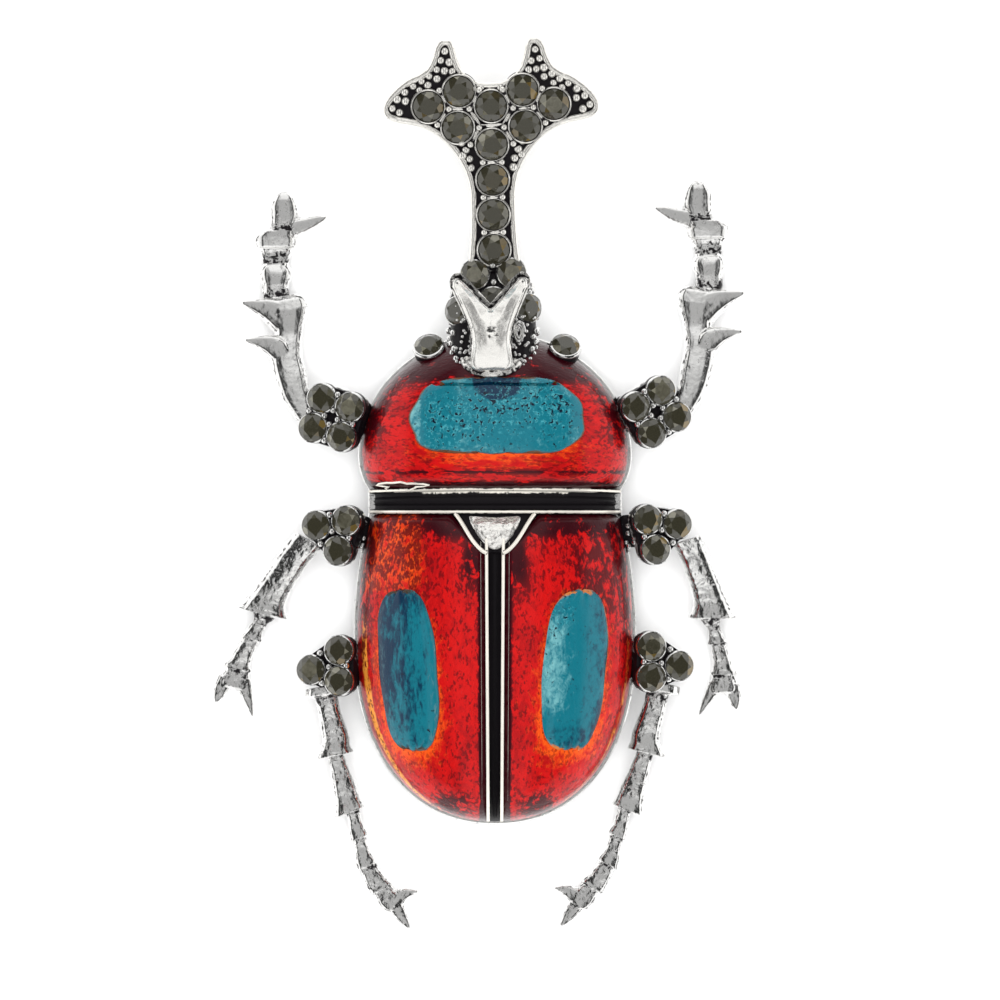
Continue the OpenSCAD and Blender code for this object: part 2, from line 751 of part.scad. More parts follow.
module left_and_right_legs() {
    for (side = [LEFT, RIGHT]) {
        front = front_root(side);
        middle = middle_root(side);
        hind = hind_root(side);
        difference() {
            union() {
                root_pad(front, front_spots(side), side);
                root_pad(middle, middle_spots(side), side);
                root_pad(hind, hind_spots(side), side);
                root_arm(front, shield_dome, side);
                root_arm(middle, wing_dome, side);
                root_arm(hind, wing_dome, side);
            }
            dome_body(wing_dome, [for (share = CORE_STATIONS) wing_y(share)], 12, -4 * gap, base_z);
            dome_body(shield_dome, [for (share = CORE_STATIONS) shield_y(share)], 12, -4 * gap, base_z);
        }
        leg(FRONT_LEG, front, FRONT_HIP, side, 1, place_of(front_reach, side), place_of(front_turn, side));
        leg(MIDDLE_LEG, middle, MIDDLE_HIP, side, -1, place_of(middle_reach, side), place_of(middle_turn, side));
        hind_hip = [place_of(hind_hip_out, side) / leg_pitch, -1.05];
        leg(HIND_LEG, hind, hind_hip, side, -1, place_of(hind_reach, side), place_of(hind_turn, side));
    }
}

// Head, eyes and horns

head_x = -0.14;
head_back_y = shield_back_y + shield_l - 1.6;
head_front_y = head_back_y + head_l;
head_top_z = back_z + head_h;
head_girdle_z = head_top_z + 0.3;

module head_block(y, half, top) {
    bevel = 0.7;
    translate([head_x, y, back_z])
        cylinder(r = half, h = top - back_z - bevel, $fn = 12);
    translate([head_x, y, top - bevel])
        cylinder(r1 = half, r2 = half - bevel, h = bevel, $fn = 12);
}

module head() {
    wide = head_w / 2;
    slim = 0.75 * wide;
    behind = shield_y(shield_front_middle) + 5 * gap;
    difference() {
        hull() {
            head_block(head_back_y - 1, wide, head_top_z);
            head_block(head_front_y - 3.4, wide, head_top_z);
            head_block(head_front_y - slim, slim, head_top_z);
        }
        translate([head_x - head_w, behind - head_w, 0])
            cube([2 * head_w, head_w, 2 * head_top_z]);
    }
}

// Stones of the head: outward as a share of its half width, forward as a share of its length, and
// outward lean in degrees
HEAD_STONES = [[-0.43, 0.86, -6], [0.43, 0.88, 6], [0, 0.57, 0], [-0.83, 0.47, -34], [0.83, 0.5, 34]];
function head_seats() = [
    for (s = HEAD_STONES)
        let (drop_z = abs(s[2]) > 20 ? 0.75 : 0)
        [
            [head_x + s[0] * head_w / 2, head_back_y + s[1] * head_l, head_girdle_z - drop_z],
            [0, s[2], 0],
            head_stone_d
        ]
];

// Eyes: on the front corners of the shield, leaning forward and outward
EYE_OUT = [5.24, 5.56];
EYE_LEAN = -40;
EYE_SPLAY = 12;
function eye_seat(side) = [
    [side * place_of(EYE_OUT, side), shield_back_y + shield_l - 0.85, base_z + 2.3],
    [EYE_LEAN, side * EYE_SPLAY, 0],
    head_stone_d
];
module eye_boss(side) {
    seat = eye_seat(side);
    r = head_stone_d / 2 + gap + cup_wall;
    hull() {
        in_seat(seat)
            translate([0, 0, -1.3])
                cylinder(r = r - cup_wall, h = 0.8, $fn = CUP_SIDES);
        translate([side * (place_of(EYE_OUT, side) - 1), seat[PLACE][1] - 0.2, back_z])
            cylinder(r = r - cup_wall, h = 1, $fn = CUP_SIDES);
    }
}

// Long horn. Its outline and seats are in pitches of its stones, from the root to the fork
horn_pitch = horn_stone_d + 2 * gap + seat_wall + 0.05;
horn_turn = [horn_rise, 0, horn_lean];
rail_drop = 0.2;
horn_root = [head_x + 0.1, head_front_y - 0.3, head_girdle_z + 0.1];

SHAFT_FIRST = 0.44;
SHAFT_COUNT = 4;
FORK_SEATS = [[0, 4.54], [0.9, 4.98], [-0.9, 4.98], [1.78, 4.56], [-1.78, 4.56], [0.96, 3.95], [-0.96, 3.95]];
HORN_ROOT = [0.7, -0.2];
HORN_SHAFT = [0.52, 1.1];
HORN_NECK = [0.57, 2.37];
HORN_OUTER_TIP = [2.97, 4.57];
HORN_INNER_TIP = [1.12, 6.4];
HORN_NOTCH = [0, 5.16];
// What pulls each edge of the fork into its curve
NECK_PULL = [1.2, 4.05];
OUTER_PULL = [1.66, 5.3];
INNER_PULL = [0.86, 5.12];
HORN_BEADS = [
    [1.12, 6.06], [1.42, 5.76], [1.05, 5.64], [1.7, 5.48], [1.36, 5.42], [2.02, 5.22],
    [2.35, 5.06], [2.74, 4.7], [2.42, 4.7], [0.45, 5.02], [0.72, 3.2],
];

function curve(a, pull, b, steps) = [
    for (k = [0:steps])
        let (t = k / steps)
        (1 - t) * (1 - t) * a + 2 * t * (1 - t) * pull + t * t * b
];
function mirrored(points) = [for (k = [len(points) - 1:-1:0]) [-points[k][0], points[k][1]]];
function both_sides(points) = concat(points, mirrored(points));

module horn_outline() {
    tip = 0.13;
    half = concat(
        [HORN_ROOT, HORN_SHAFT],
        curve(HORN_NECK, NECK_PULL, HORN_OUTER_TIP + [0, -tip], 4),
        curve(HORN_OUTER_TIP + [0, tip], OUTER_PULL, HORN_INNER_TIP + [tip, 0], 4),
        curve(HORN_INNER_TIP + [-tip, 0], INNER_PULL, HORN_NOTCH, 3)
    );
    scale(horn_pitch) polygon(both_sides(half));
}

HORN_SPOTS = concat([for (k = [0:SHAFT_COUNT - 1]) [0, SHAFT_FIRST + k]], FORK_SEATS) * horn_pitch;
function horn_seats() = [
    for (spot = HORN_SPOTS)
        [horn_root + turned([spot[0], spot[1], 0], horn_turn), horn_turn, horn_stone_d]
];

module bead(p) {
    translate(p - [0, 0, gap]) cylinder(d1 = bead_d, d2 = bead_d / 2, h = 0.45 * bead_d, $fn = 6);
}

// What is sunk between the rails of the fork; the shaft has no rails
module horn_recess() {
    offset(delta = -rail_w) horn_outline();
    scale(horn_pitch) translate([-1, -1]) square([2, HORN_NECK[1] + 1.6]);
}

module horn() {
    ground = 0.45;
    translate(horn_root) rotate(horn_turn) {
        difference() {
            translate([0, 0, -horn_t])
                linear_extrude(horn_t - rail_drop)
                    horn_outline();
            translate([0, 0, -ground])
                linear_extrude(ground)
                    horn_recess();
        }
        cups(HORN_SPOTS, horn_stone_d);
        for (side = [LEFT, RIGHT])
            for (p = HORN_BEADS)
                bead([side * p[0] * horn_pitch, p[1] * horn_pitch, -ground]);
    }
}

// Crest horn: across in shares of its half span, along in shares of its length
CREST_FOOT = [0.34, -0.04];
CREST_HEEL = [0.54, 0.02];
CREST_STEM = [0.47, 0.16];
CREST_PULL = [0.44, 0.62];
CREST_OUTER_TIP = [1.0, 0.93];
CREST_INNER_TIP = [0.82, 1.0];
CREST_NOTCH_PULL = [0.24, 0.7];
CREST_NOTCH = [0, 0.69];
module crest_outline() {
    half = concat(
        [CREST_FOOT, CREST_HEEL],
        curve(CREST_STEM, CREST_PULL, CREST_OUTER_TIP, 4),
        curve(CREST_INNER_TIP, CREST_NOTCH_PULL, CREST_NOTCH, 3)
    );
    scale([crest_span / 2, crest_l]) polygon(both_sides(half));
}

crest_foot_y = shield_back_y + 0.72 * shield_l + 0.22;
crest_foot_z = skin_z(shield_dome, 0, crest_foot_y) + 0.15;

module crest_horn() {
    translate([head_x - 0.1, crest_foot_y, crest_foot_z]) rotate([crest_rise, 0, horn_lean]) {
        difference() {
            translate([0, 0, -crest_t])
                linear_extrude(crest_t + relief)
                    crest_outline();
            linear_extrude(2 * relief)
                offset(delta = -rail_w) crest_outline();
        }
    }
}

// What carries the crest horn's foot
module crest_post() {
    post_r = 0.62 * crest_span / 2;
    hull() {
        translate([head_x, crest_foot_y + post_r, base_z])
            cylinder(r = post_r, h = crest_foot_z - base_z - 0.2, $fn = 8);
        translate([head_x, crest_foot_y + 1.7 * post_r, base_z])
            cylinder(r = 0.8 * post_r, h = crest_foot_z - base_z, $fn = 8);
    }
}

// Posts inside the back that the pin's bar is riveted to

bar_z = stem_z + stem_d / 2 + cloth_gap + 0.35;
rivet_front_y = shield_back_y + 2.2;
rivet_places = [rivet_front_y, rivet_front_y - rivet_span];
rivet_head_t = 0.3;

module rivet_posts() {
    for (y = rivet_places)
        translate([0, y, 0]) {
            top = y > wings_front_y ? skin_z(shield_dome, 0, y) : skin_z(wing_dome, 0, y);
            seat = bar_z + bar_t + gap;
            translate([0, 0, seat])
                cylinder(d = 2 * rivet_d, h = top - enamel_t - metal_t / 2 - seat, $fn = 8);
            translate([0, 0, bar_z - gap - rivet_head_t])
                cylinder(d = rivet_d, h = bar_t + rivet_head_t + 3 * gap, $fn = 8);
            translate([0, 0, bar_z - gap - rivet_head_t])
                cylinder(d = 1.5 * rivet_d, h = rivet_head_t, $fn = 8);
        }
}

// Pieces

// Seats whose cups stand alone, and all seats
function single_seats() = concat(head_seats(), [eye_seat(LEFT), eye_seat(RIGHT)]);
function all_seats() = concat(
    horn_seats(),
    single_seats(),
    [for (side = [LEFT, RIGHT]) each concat(front_seats(side), middle_seats(side), hind_seats(side))]
);

module body_casting() {
    color(METAL)
        translate(body_shift)
            difference() {
                union() {
                    difference() {
                        union() {
                            body_shell();
                            left_and_right_legs();
                            head();
                            crest_post();
                        }
                        hollow();
                    }
                    eye_boss(LEFT);
                    eye_boss(RIGHT);
                    horn();
                    crest_horn();
                    rivet_posts();
                    for (seat = single_seats())
                        cup(seat);
                }
                for (seat = all_seats())
                    cup_pocket(seat);
            }
}

module neck_shield_enamel() {
    color(RED) translate(body_shift) shield_enamel();
}

module right_wing_enamel() {
    color(RED) translate(body_shift) wing_enamel();
}

module left_wing_enamel() {
    color(RED) translate(body_shift) mirror([1, 0, 0]) wing_enamel();
}

module neck_shield_patch() {
    middle = [0, shield_y(SHIELD_DROP_ALONG)];
    color(TEAL) translate(body_shift) drop(shield_dome, middle, shield_drop_w, shield_drop_l, 0, 10);
}

module left_wing_patch() {
    color(TEAL) translate(body_shift) wing_drop(LEFT);
}

module right_wing_patch() {
    color(TEAL) translate(body_shift) wing_drop(RIGHT);
}

module pin_back() {
    bar_front = rivet_front_y + (bar_l - rivet_span) / 2;
    bar_back = bar_front - bar_l;
    end_r = bar_w / 2;
    hinge_y = bar_front - 1.6;
    catch_y = bar_back + 1.4;
    barrel_d = 1.7;
    ear_t = 0.7;
    ear_gap = 1.5;
    catch_l = 1.6;
    catch_d = stem_d + 1.3;
    color(METAL) translate(body_shift) {
        difference() {
            union() {
                translate([-end_r, bar_back + end_r, bar_z])
                    cube([bar_w, bar_l - bar_w, bar_t]);
                for (y = [bar_front - end_r, bar_back + end_r])
                    translate([0, y, bar_z])
                        cylinder(r = end_r, h = bar_t, $fn = 48);
            }
            for (y = rivet_places)
                translate([0, y, bar_z - 1])
                    cylinder(d = rivet_d + 2 * gap, h = bar_t + 2, $fn = 48);
        }
        for (side = [LEFT, RIGHT])
            translate([side * (ear_gap + ear_t) / 2 - ear_t / 2, hinge_y - 0.8, stem_z])
                cube([ear_t, 1.6, bar_z + bar_t / 2 - stem_z]);
        translate([-ear_gap / 2 - ear_t, hinge_y, stem_z])
            rotate([0, 90, 0])
                cylinder(d = barrel_d, h = ear_gap + 2 * ear_t, $fn = 32);
        translate([0, hinge_y, stem_z])
            rotate([90, 0, 0])
                cylinder(d = stem_d, h = hinge_y - catch_y - 0.6, $fn = 24);
        translate([0, catch_y + 0.6, stem_z])
            rotate([90, 0, 0])
                cylinder(d1 = stem_d, d2 = 0.2, h = 2.4, $fn = 24);
        translate([-catch_d / 2, catch_y - catch_l / 2, stem_z + stem_d / 2 + gap])
            cube([0.6, catch_l, bar_z + bar_t / 2 - stem_z - stem_d / 2 - gap]);
        difference() {
            translate([0, catch_y + catch_l / 2, stem_z])
                rotate([90, 0, 0])
                    cylinder(d = catch_d, h = catch_l, $fn = 32);
            translate([0, catch_y + catch_l, stem_z])
                rotate([90, 0, 0])
                    cylinder(d = stem_d + 0.2, h = 2 * catch_l, $fn = 32);
            translate([0, catch_y - catch_l, stem_z])
                cube([catch_d, 2 * catch_l, catch_d]);
        }
    }
}

module placed_stone(seat) {
    translate(body_shift) seated_stone(seat);
}

body_casting();
neck_shield_enamel();
left_wing_enamel();
right_wing_enamel();
neck_shield_patch();
left_wing_patch();
right_wing_patch();
pin_back();
placed_stone(eye_seat(LEFT));  // left_eye_stone
placed_stone(eye_seat(RIGHT));  // right_eye_stone
for (k = [1:11])
    placed_stone(horn_seats()[k - 1]);
for (k = [1:5])
    placed_stone(head_seats()[k - 1]);
for (k = [1:4])
    placed_stone(front_seats(LEFT)[k - 1]);
for (k = [1:4])
    placed_stone(front_seats(RIGHT)[k - 1]);
for (k = [1:3])
    placed_stone(middle_seats(LEFT)[k - 1]);
for (k = [1:3])
    placed_stone(middle_seats(RIGHT)[k - 1]);
for (k = [1:3])
    placed_stone(hind_seats(LEFT)[k - 1]);
for (k = [1:3])
    placed_stone(hind_seats(RIGHT)[k - 1]);
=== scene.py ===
"""Rhinoceros beetle brooch: cast and blackened silver with two horns and six legs, red and teal
enamel over foil, and smoky cut stones. It is modelled in millimetres around the body's middle
plane, +Y to the horn and +Z to the viewer, and each finished piece is laid into the frame."""

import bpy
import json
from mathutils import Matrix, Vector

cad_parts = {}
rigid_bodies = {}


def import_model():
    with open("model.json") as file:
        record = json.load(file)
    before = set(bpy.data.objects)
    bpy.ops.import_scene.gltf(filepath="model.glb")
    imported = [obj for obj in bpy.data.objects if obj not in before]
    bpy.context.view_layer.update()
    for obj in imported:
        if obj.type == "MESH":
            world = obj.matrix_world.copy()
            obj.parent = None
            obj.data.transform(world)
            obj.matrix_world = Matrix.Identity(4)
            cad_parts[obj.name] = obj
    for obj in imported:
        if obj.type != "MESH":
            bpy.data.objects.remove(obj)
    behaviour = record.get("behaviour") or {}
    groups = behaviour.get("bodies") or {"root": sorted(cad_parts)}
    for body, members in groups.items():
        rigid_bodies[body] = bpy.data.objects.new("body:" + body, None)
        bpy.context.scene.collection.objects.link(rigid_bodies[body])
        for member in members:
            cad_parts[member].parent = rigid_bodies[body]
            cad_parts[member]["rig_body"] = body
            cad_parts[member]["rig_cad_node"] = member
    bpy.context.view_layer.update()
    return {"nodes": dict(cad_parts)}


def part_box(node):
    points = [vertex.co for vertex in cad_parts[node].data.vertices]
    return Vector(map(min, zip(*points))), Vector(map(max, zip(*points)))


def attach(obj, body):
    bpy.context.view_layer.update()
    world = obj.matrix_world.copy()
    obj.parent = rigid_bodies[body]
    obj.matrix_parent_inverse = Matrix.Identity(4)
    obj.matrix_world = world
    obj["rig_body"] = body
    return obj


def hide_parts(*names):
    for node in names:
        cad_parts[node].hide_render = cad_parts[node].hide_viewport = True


bl_info = {
    "name": "Beetle Brooch",
    "version": (1, 0, 0),
    "blender": (4, 5, 0),
    "location": "3D View > Sidebar > Brooch",
    "description": "Models and finishes the metal, enamel and stones of a beetle brooch",
    "category": "Mesh",
}

import json
import math
import random
from dataclasses import dataclass, replace

import bpy
from bpy.props import FloatProperty, FloatVectorProperty, IntProperty, PointerProperty
from mathutils import Matrix, Vector
from mathutils.bvhtree import BVHTree

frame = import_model()

METRES = 0.001
LEFT = -1
RIGHT = 1
CASTING = "body_casting"
BODY = "root"
FINE_MERGE = 0.0005
ENAMEL_LIFT = 0.05
CREASE = 45


def length(name, description, millimetres):
    """A length property whose default is given in millimetres."""
    return FloatProperty(
        name=name, description=description, default=millimetres * METRES, unit="LENGTH", precision=5
    )


def share(name, description, default):
    return FloatProperty(name=name, description=description, default=default, min=0, subtype="FACTOR")


def angle(name, description, degrees):
    """An angle property whose default is given in degrees."""
    return FloatProperty(name=name, description=description, default=math.radians(degrees), unit="ROTATION")


def colour(name, description, default):
    return FloatVectorProperty(
        name=name, description=description, default=default, size=3, min=0, max=1, subtype="COLOR"
    )


class BodySizes(bpy.types.PropertyGroup):
    middle_x: length("Middle plane", "Distance of the body's middle plane from the frame's", 1.26)
    wings_w: length("Wing cases' width", "Width across both wing cases", 21.9)
    wings_l: length("Wing cases' length", "Length from the waist to the tail", 24.3)
    wings_h: length("Wing cases' height", "Height above the back rim", 7.0)
    wings_mid: share("Widest place", "Share of the wing cases in front of their widest place", 0.41)
    shield_w: length("Shield's width", "Width of the neck shield", 21.2)
    shield_l: length("Shield's length", "Length from the waist to the front rim", 12.2)
    shield_h: length("Shield's height", "Height above the back rim", 6.8)
    shield_mid: share("Shield's widest place", "Share of the shield behind its widest place", 0.22)
    shield_back: length("Shield's rear edge", "Place of the rear edge along the body", -0.3)
    waist_l: length("Waist", "Width of the band between shield and wing cases", 1.95)
    back_z: length("Back", "Height of the back rim above the floor", 2.6)
    rim_t: length("Rim's thickness", "Thickness of the rim round the open back", 0.5)
    rim_out: length("Rim's ledge", "How far the rim stands out of the enamel", 0.24)
    enamel_t: length("Enamel", "Thickness of the enamel", 0.8)
    metal_t: length("Metal", "Thickness of the metal under the enamel", 1.2)
    ridge_w: length("Ridge", "Width of the ridge between the wing cases", 1.6)
    ridge_tail: length("Ridge at the tail", "Width of the ridge at the tail", 1.32)
    plate_w: length("Plate's width", "Width of the triangle plate", 6.2)
    plate_l: length("Plate's length", "Length of the triangle plate", 3.1)
    rail_w: length("Rails", "Width of a rail", 0.31)
    relief: length("Relief", "How far rails stand up", 0.16)


class StoneSizes(bpy.types.PropertyGroup):
    table: share("Table", "Radius of the table as a share of the stone's", 0.56)
    crown: share("Crown", "Height of the crown as a share of the stone's radius", 0.34)
    pavilion: share("Pavilion", "Depth of the pavilion as a share of the stone's radius", 0.62)
    cup_wall: length("Cup's wall", "Thickness of a cup round its stone", 0.2)
    bead: length("Bead", "Diameter of a bead of the granulation", 0.62)
    prong: length("Prong", "Diameter of a prong between two stones", 0.5)


class HornSizes(bpy.types.PropertyGroup):
    pitch: length("Pitch", "Distance between two stones of the long horn", 2.77)
    thickness: length("Thickness", "Thickness of the long horn", 2.2)
    rise: angle("Rise", "Rise of the long horn", 8)
    lean: angle("Lean", "Lean of both horns", 1.2)
    crest_l: length("Crest's length", "Length of the crest horn", 8.9)
    crest_span: length("Crest's span", "Span of the crest horn across its tips", 6.0)
    crest_t: length("Crest's thickness", "Thickness of the crest horn", 0.5)
    crest_rise: angle("Crest's rise", "Rise of the crest horn", 29)
    head_w: length("Head's width", "Width of the head", 6.8)
    head_l: length("Head's length", "Length of the head", 7.3)
    head_h: length("Head's height", "Height of the head above the back rim", 4.9)


class LegSizes(bpy.types.PropertyGroup):
    pitch: length("Pitch", "Distance between two stones of a leg root", 2.42)
    root_z: length("Roots' height", "Height of the roots' stones above the floor", 5.5)
    root_t: length("Roots' thickness", "Thickness of a leg root", 1.8)
    root_lean: angle("Roots' lean", "Outward lean of a leg root", 14)
    flatness: share("Flatness", "Thickness of a leg as a share of its width", 0.62)
    claw_h: length("Claws", "Height of a claw", 1.1)
    finest: length("Finest tip", "Least half thickness of a leg", 0.24)


class Finishes(bpy.types.PropertyGroup):
    silver: colour("Silver", "Polished silver plate", (0.86, 0.855, 0.84))
    cream: colour("Cream", "Frosted silver of the rails", (0.93, 0.89, 0.80))
    # Black is also laid as painted shade on the crest's side walls and along the legs' flanks.
    black: colour("Blackening", "Antique black in the recesses", (0.006, 0.005, 0.006))
    red: colour("Red", "Red enamel", (0.55, 0.005, 0.005))
    orange: colour("Orange", "Red enamel where it is thin", (0.88, 0.10, 0.008))
    # Maroon is also the painted shade and dark reflection on the flanks and low rim of the red enamel.
    maroon: colour("Maroon", "Red enamel where it is thick", (0.022, 0.001, 0.004))
    dull_red: colour("Dull red", "Red enamel over crumpled foil", (0.33, 0.003, 0.005))
    dark_red: colour("Dark red", "Small dark flecks in the red enamel", (0.17, 0.002, 0.004))
    # Gold stands for lit foil: a painted reflection, a bright line along the flanks of the wing cases.
    gold_reflection: colour("Gold", "Foil that shows low on the wing cases", (0.95, 0.36, 0.05))
    teal: colour("Teal", "Teal enamel", (0.004, 0.135, 0.18))
    # Pale teal is also the painted pale reflections on the drops.
    pale_teal: colour("Pale teal", "Teal enamel where it is milky", (0.17, 0.42, 0.44))
    # Deep teal is also the painted dark reflection of the crest on the shield's drop.
    deep_teal: colour("Deep teal", "Teal enamel where it is thick", (0.001, 0.020, 0.05))
    pit: colour("Pit", "Pits of the teal enamel", (0.001, 0.004, 0.016))
    pit_edge: colour("Pit's edge", "Teal enamel round its pits", (0.10, 0.46, 0.52))
    smoke: colour("Smoke", "Smoky stones", (0.028, 0.026, 0.016))
    glint: colour("Glint", "Lit facets of the stones", (0.22, 0.21, 0.16))
    # Amber is a painted glint on a few facets.
    amber_glint: colour("Amber", "The few warm facets of the stones", (0.2, 0.13, 0.03))
    nickel: colour("Nickel", "Plating of the pin", (0.74, 0.73, 0.7))
    dull_nickel: colour("Dull nickel", "Clouded plating of the pin", (0.62, 0.61, 0.58))
    floor: colour("Floor", "Pale floor", (0.93, 0.93, 0.93))
    rays: IntProperty(name="Rays", description="Rays from each point that seek recesses", default=26)


class StageSettings(bpy.types.PropertyGroup):
    view_w: length("View", "Width of what the camera sees", 79.3)
    view_x: length("View's middle across", "Middle of the view, across", 1.657)
    view_y: length("View's middle along", "Middle of the view, along the body", -1.15)
    distance: length("Distance", "Height of the camera above the floor", 900)
    soft: FloatProperty(name="Soft light", description="Power of the overhead soft light", default=1.0)


def settings():
    return bpy.context.scene.brooch


def mm(value):
    """A length property's value in millimetres."""
    return value / METRES


# Arithmetic of the body's forms


def mix(a, b, t):
    return a + (b - a) * t


def smooth(low, high, value):
    t = min(1.0, max(0.0, (value - low) / (high - low)))
    return t * t * (3 - 2 * t)


def bulge(part, power):
    """Height share of a superellipse at a distance share from its middle."""
    return max(0.0, 1 - abs(part) ** power) ** (1 / power)


def squared(part, power):
    """A cosine or sine drawn out, so that a circle becomes a superellipse."""
    return math.copysign(abs(part) ** (2 / power), part)


@dataclass
class Dome:
    """A domed half of the body: a superellipse in plan at its round end, and arches across it. The
    falls are how far its ridge line reaches before and behind the middle, each with a power."""

    half: float
    top: float
    middle: float
    front: float
    back: float
    falls: tuple
    powers: tuple
    round_front: bool
    round_power: float
    base: float
    shoulder = 2.3

    def half_at(self, y):
        ahead = y > self.middle
        run = self.front if ahead else self.back
        power = self.round_power if ahead == self.round_front else 2
        return self.half * bulge((y - self.middle) / run, power)

    def top_at(self, y):
        k = 0 if y > self.middle else 1
        return self.top * bulge((y - self.middle) / self.falls[k], self.powers[k])

    def arch(self, y, angle, lift=0.0):
        """A point over station y; the angle runs from the right rim, 0, to the left, pi."""
        across = (self.half_at(y) + lift) * squared(math.cos(angle), self.shoulder)
        rise = (self.top_at(y) + lift) * squared(max(0.0, math.sin(angle)), self.shoulder)
        return Vector((across, y, self.base + rise))

    def angle_to(self, y, x):
        """The arch's angle at a distance x from the middle plane."""
        half = max(1e-6, self.half_at(y))
        return math.acos(min(1.0, x / half) ** (self.shoulder / 2))

    def skin(self, x, y, lift=0.0):
        """A point over a place in plan."""
        half = max(1e-6, self.half_at(y))
        return Vector((x, y, self.base + self.top_at(y) * bulge(x / half, self.shoulder) + lift))

    def inset(self, wall):
        """The same dome a wall further in."""
        ahead, behind = (wall, 0) if self.round_front else (0, wall)
        return replace(
            self, half=self.half - wall, top=self.top - wall, front=self.front - ahead,
            back=self.back - behind, falls=(self.falls[0] - ahead, self.falls[1] - behind),
        )

    def run(self, start, end, t):
        """Stations from start to end, closer together where the round end closes."""
        reach = self.front if self.round_front else self.back
        sign = 1 if self.round_front else -1
        straight = abs(self.middle - start)
        turn = math.asin(min(1.0, abs(end - self.middle) / reach))
        flat = straight / (straight + reach * turn)
        if t < flat:
            return mix(start, self.middle, t / flat)
        return self.middle + sign * reach * math.sin(turn * (t - flat) / (1 - flat))


def wings_front():
    b = settings().body
    return mm(b.shield_back) - mm(b.waist_l)


def wing_dome():
    b = settings().body
    ahead = mm(b.wings_l) * b.wings_mid
    behind = mm(b.wings_l) - ahead
    return Dome(
        half=mm(b.wings_w) / 2, top=mm(b.wings_h) - mm(b.rim_t), middle=wings_front() - ahead,
        front=2.23 * ahead, back=behind, falls=(1.15 * ahead, behind), powers=(3, 2.6),
        round_front=False, round_power=2.2, base=mm(b.back_z) + mm(b.rim_t),
    )


def shield_dome():
    b = settings().body
    behind = mm(b.shield_l) * b.shield_mid
    ahead = mm(b.shield_l) - behind
    return Dome(
        half=mm(b.shield_w) / 2, top=mm(b.shield_h) - mm(b.rim_t), middle=mm(b.shield_back) + behind,
        front=ahead, back=2.6 * behind, falls=(1.02 * ahead, 1.2 * behind), powers=(2.2, 3),
        round_front=True, round_power=2, base=mm(b.back_z) + mm(b.rim_t),
    )


def tail_y():
    return wings_front() - mm(settings().body.wings_l)


def shield_y(part):
    """A place along the shield, from 0 at its rear edge to 1 at its front rim."""
    b = settings().body
    return mm(b.shield_back) + part * mm(b.shield_l)


def offset(points, out, closed=False):
    """The points of a flat line, each moved out to the line's left."""
    last = len(points) - 1
    moved = []
    for k, (x, y) in enumerate(points):
        before = points[k - 1] if k or closed else points[0]
        after = points[(k + 1) % len(points)] if k < last or closed else points[last]
        way = (Vector(after) - Vector(before)).normalized()
        moved.append((x - way.y * out, y + way.x * out))
    return moved


def spline(p, q, r, s, t):
    """A value between q and r on the smooth curve through all four."""
    bend, twist = 2 * p - 5 * q + 4 * r - s, 3 * q - p - 3 * r + s
    return 0.5 * (2 * q + (r - p) * t + bend * t * t + twist * t ** 3)


# Modelling by operators


def let_go():
    """Leaves edit mode and deselects everything."""
    if bpy.context.mode != "OBJECT":
        bpy.ops.object.mode_set(mode="OBJECT")
    bpy.ops.object.select_all(action="DESELECT")


def take(obj):
    """Makes an object the active and only selected one."""
    let_go()
    obj.select_set(True)
    bpy.context.view_layer.objects.active = obj
    return obj


def opened(obj):
    """Opens a mesh for editing, with all of it selected."""
    take(obj)
    bpy.ops.object.mode_set(mode="EDIT")
    bpy.ops.mesh.select_all(action="SELECT")


def modify(obj, kind, **values):
    """Adds a modifier with its settings and applies it."""
    take(obj)
    modifier = obj.modifiers.new(kind.title(), kind)
    for name, value in values.items():
        setattr(modifier, name, value)
    bpy.ops.object.modifier_apply(modifier=modifier.name)
    return obj


def thickened(obj, thickness, **values):
    """Gives a sheet its thickness, downwards."""
    return modify(obj, "SOLIDIFY", thickness=thickness, offset=-1, **values)


def bevelled(obj, width):
    return modify(obj, "BEVEL", width=width, segments=2, limit_method="ANGLE", angle_limit=math.radians(60))


def rounded(obj, levels):
    return modify(obj, "SUBSURF", levels=levels, render_levels=levels)


def mended(obj, reach=0.004):
    """Merges doubles and turns the faces outwards."""
    opened(obj)
    bpy.ops.mesh.remove_doubles(threshold=reach)
    bpy.ops.mesh.normals_make_consistent(inside=False)
    bpy.ops.object.mode_set(mode="OBJECT")
    return obj


def circle(count, **options):
    let_go()
    bpy.ops.mesh.primitive_circle_add(vertices=count, radius=1, **options)
    return bpy.context.object


def laid_grid(cols, rows, place):
    """A grid whose points are moved to place(u, v); u runs across and v along, from 0 to 1."""
    let_go()
    bpy.ops.mesh.primitive_grid_add(x_subdivisions=cols, y_subdivisions=rows, size=1)
    obj = bpy.context.object
    for vertex in obj.data.vertices:
        vertex.co = place(vertex.co.x + 0.5, vertex.co.y + 0.5)
    return obj


def lofted(sections, sides=12, power=2.0, profile=None):
    """A closed skin along Z through sections of (place, half width, half height)."""
    obj = circle(len(profile) if profile else sides)
    for k, vertex in enumerate(obj.data.vertices):
        if profile:
            vertex.co = (*profile[k], 0)
        else:
            vertex.co = (squared(vertex.co.x, power), squared(vertex.co.y, power), 0)
    place, wide, high = sections[0]
    opened(obj)
    bpy.ops.mesh.edge_face_add()
    bpy.ops.transform.resize(value=(wide, high, 1), center_override=(0, 0, 0))
    bpy.ops.transform.translate(value=place)
    for before, after in zip(sections, sections[1:]):
        step = Vector(after[0]) - Vector(before[0])
        bpy.ops.mesh.extrude_region_move(TRANSFORM_OT_translate={"value": step})
        grow = (after[1] / before[1], after[2] / before[2], 1)
        bpy.ops.transform.resize(value=grow, center_override=after[0])
    return mended(obj, FINE_MERGE)


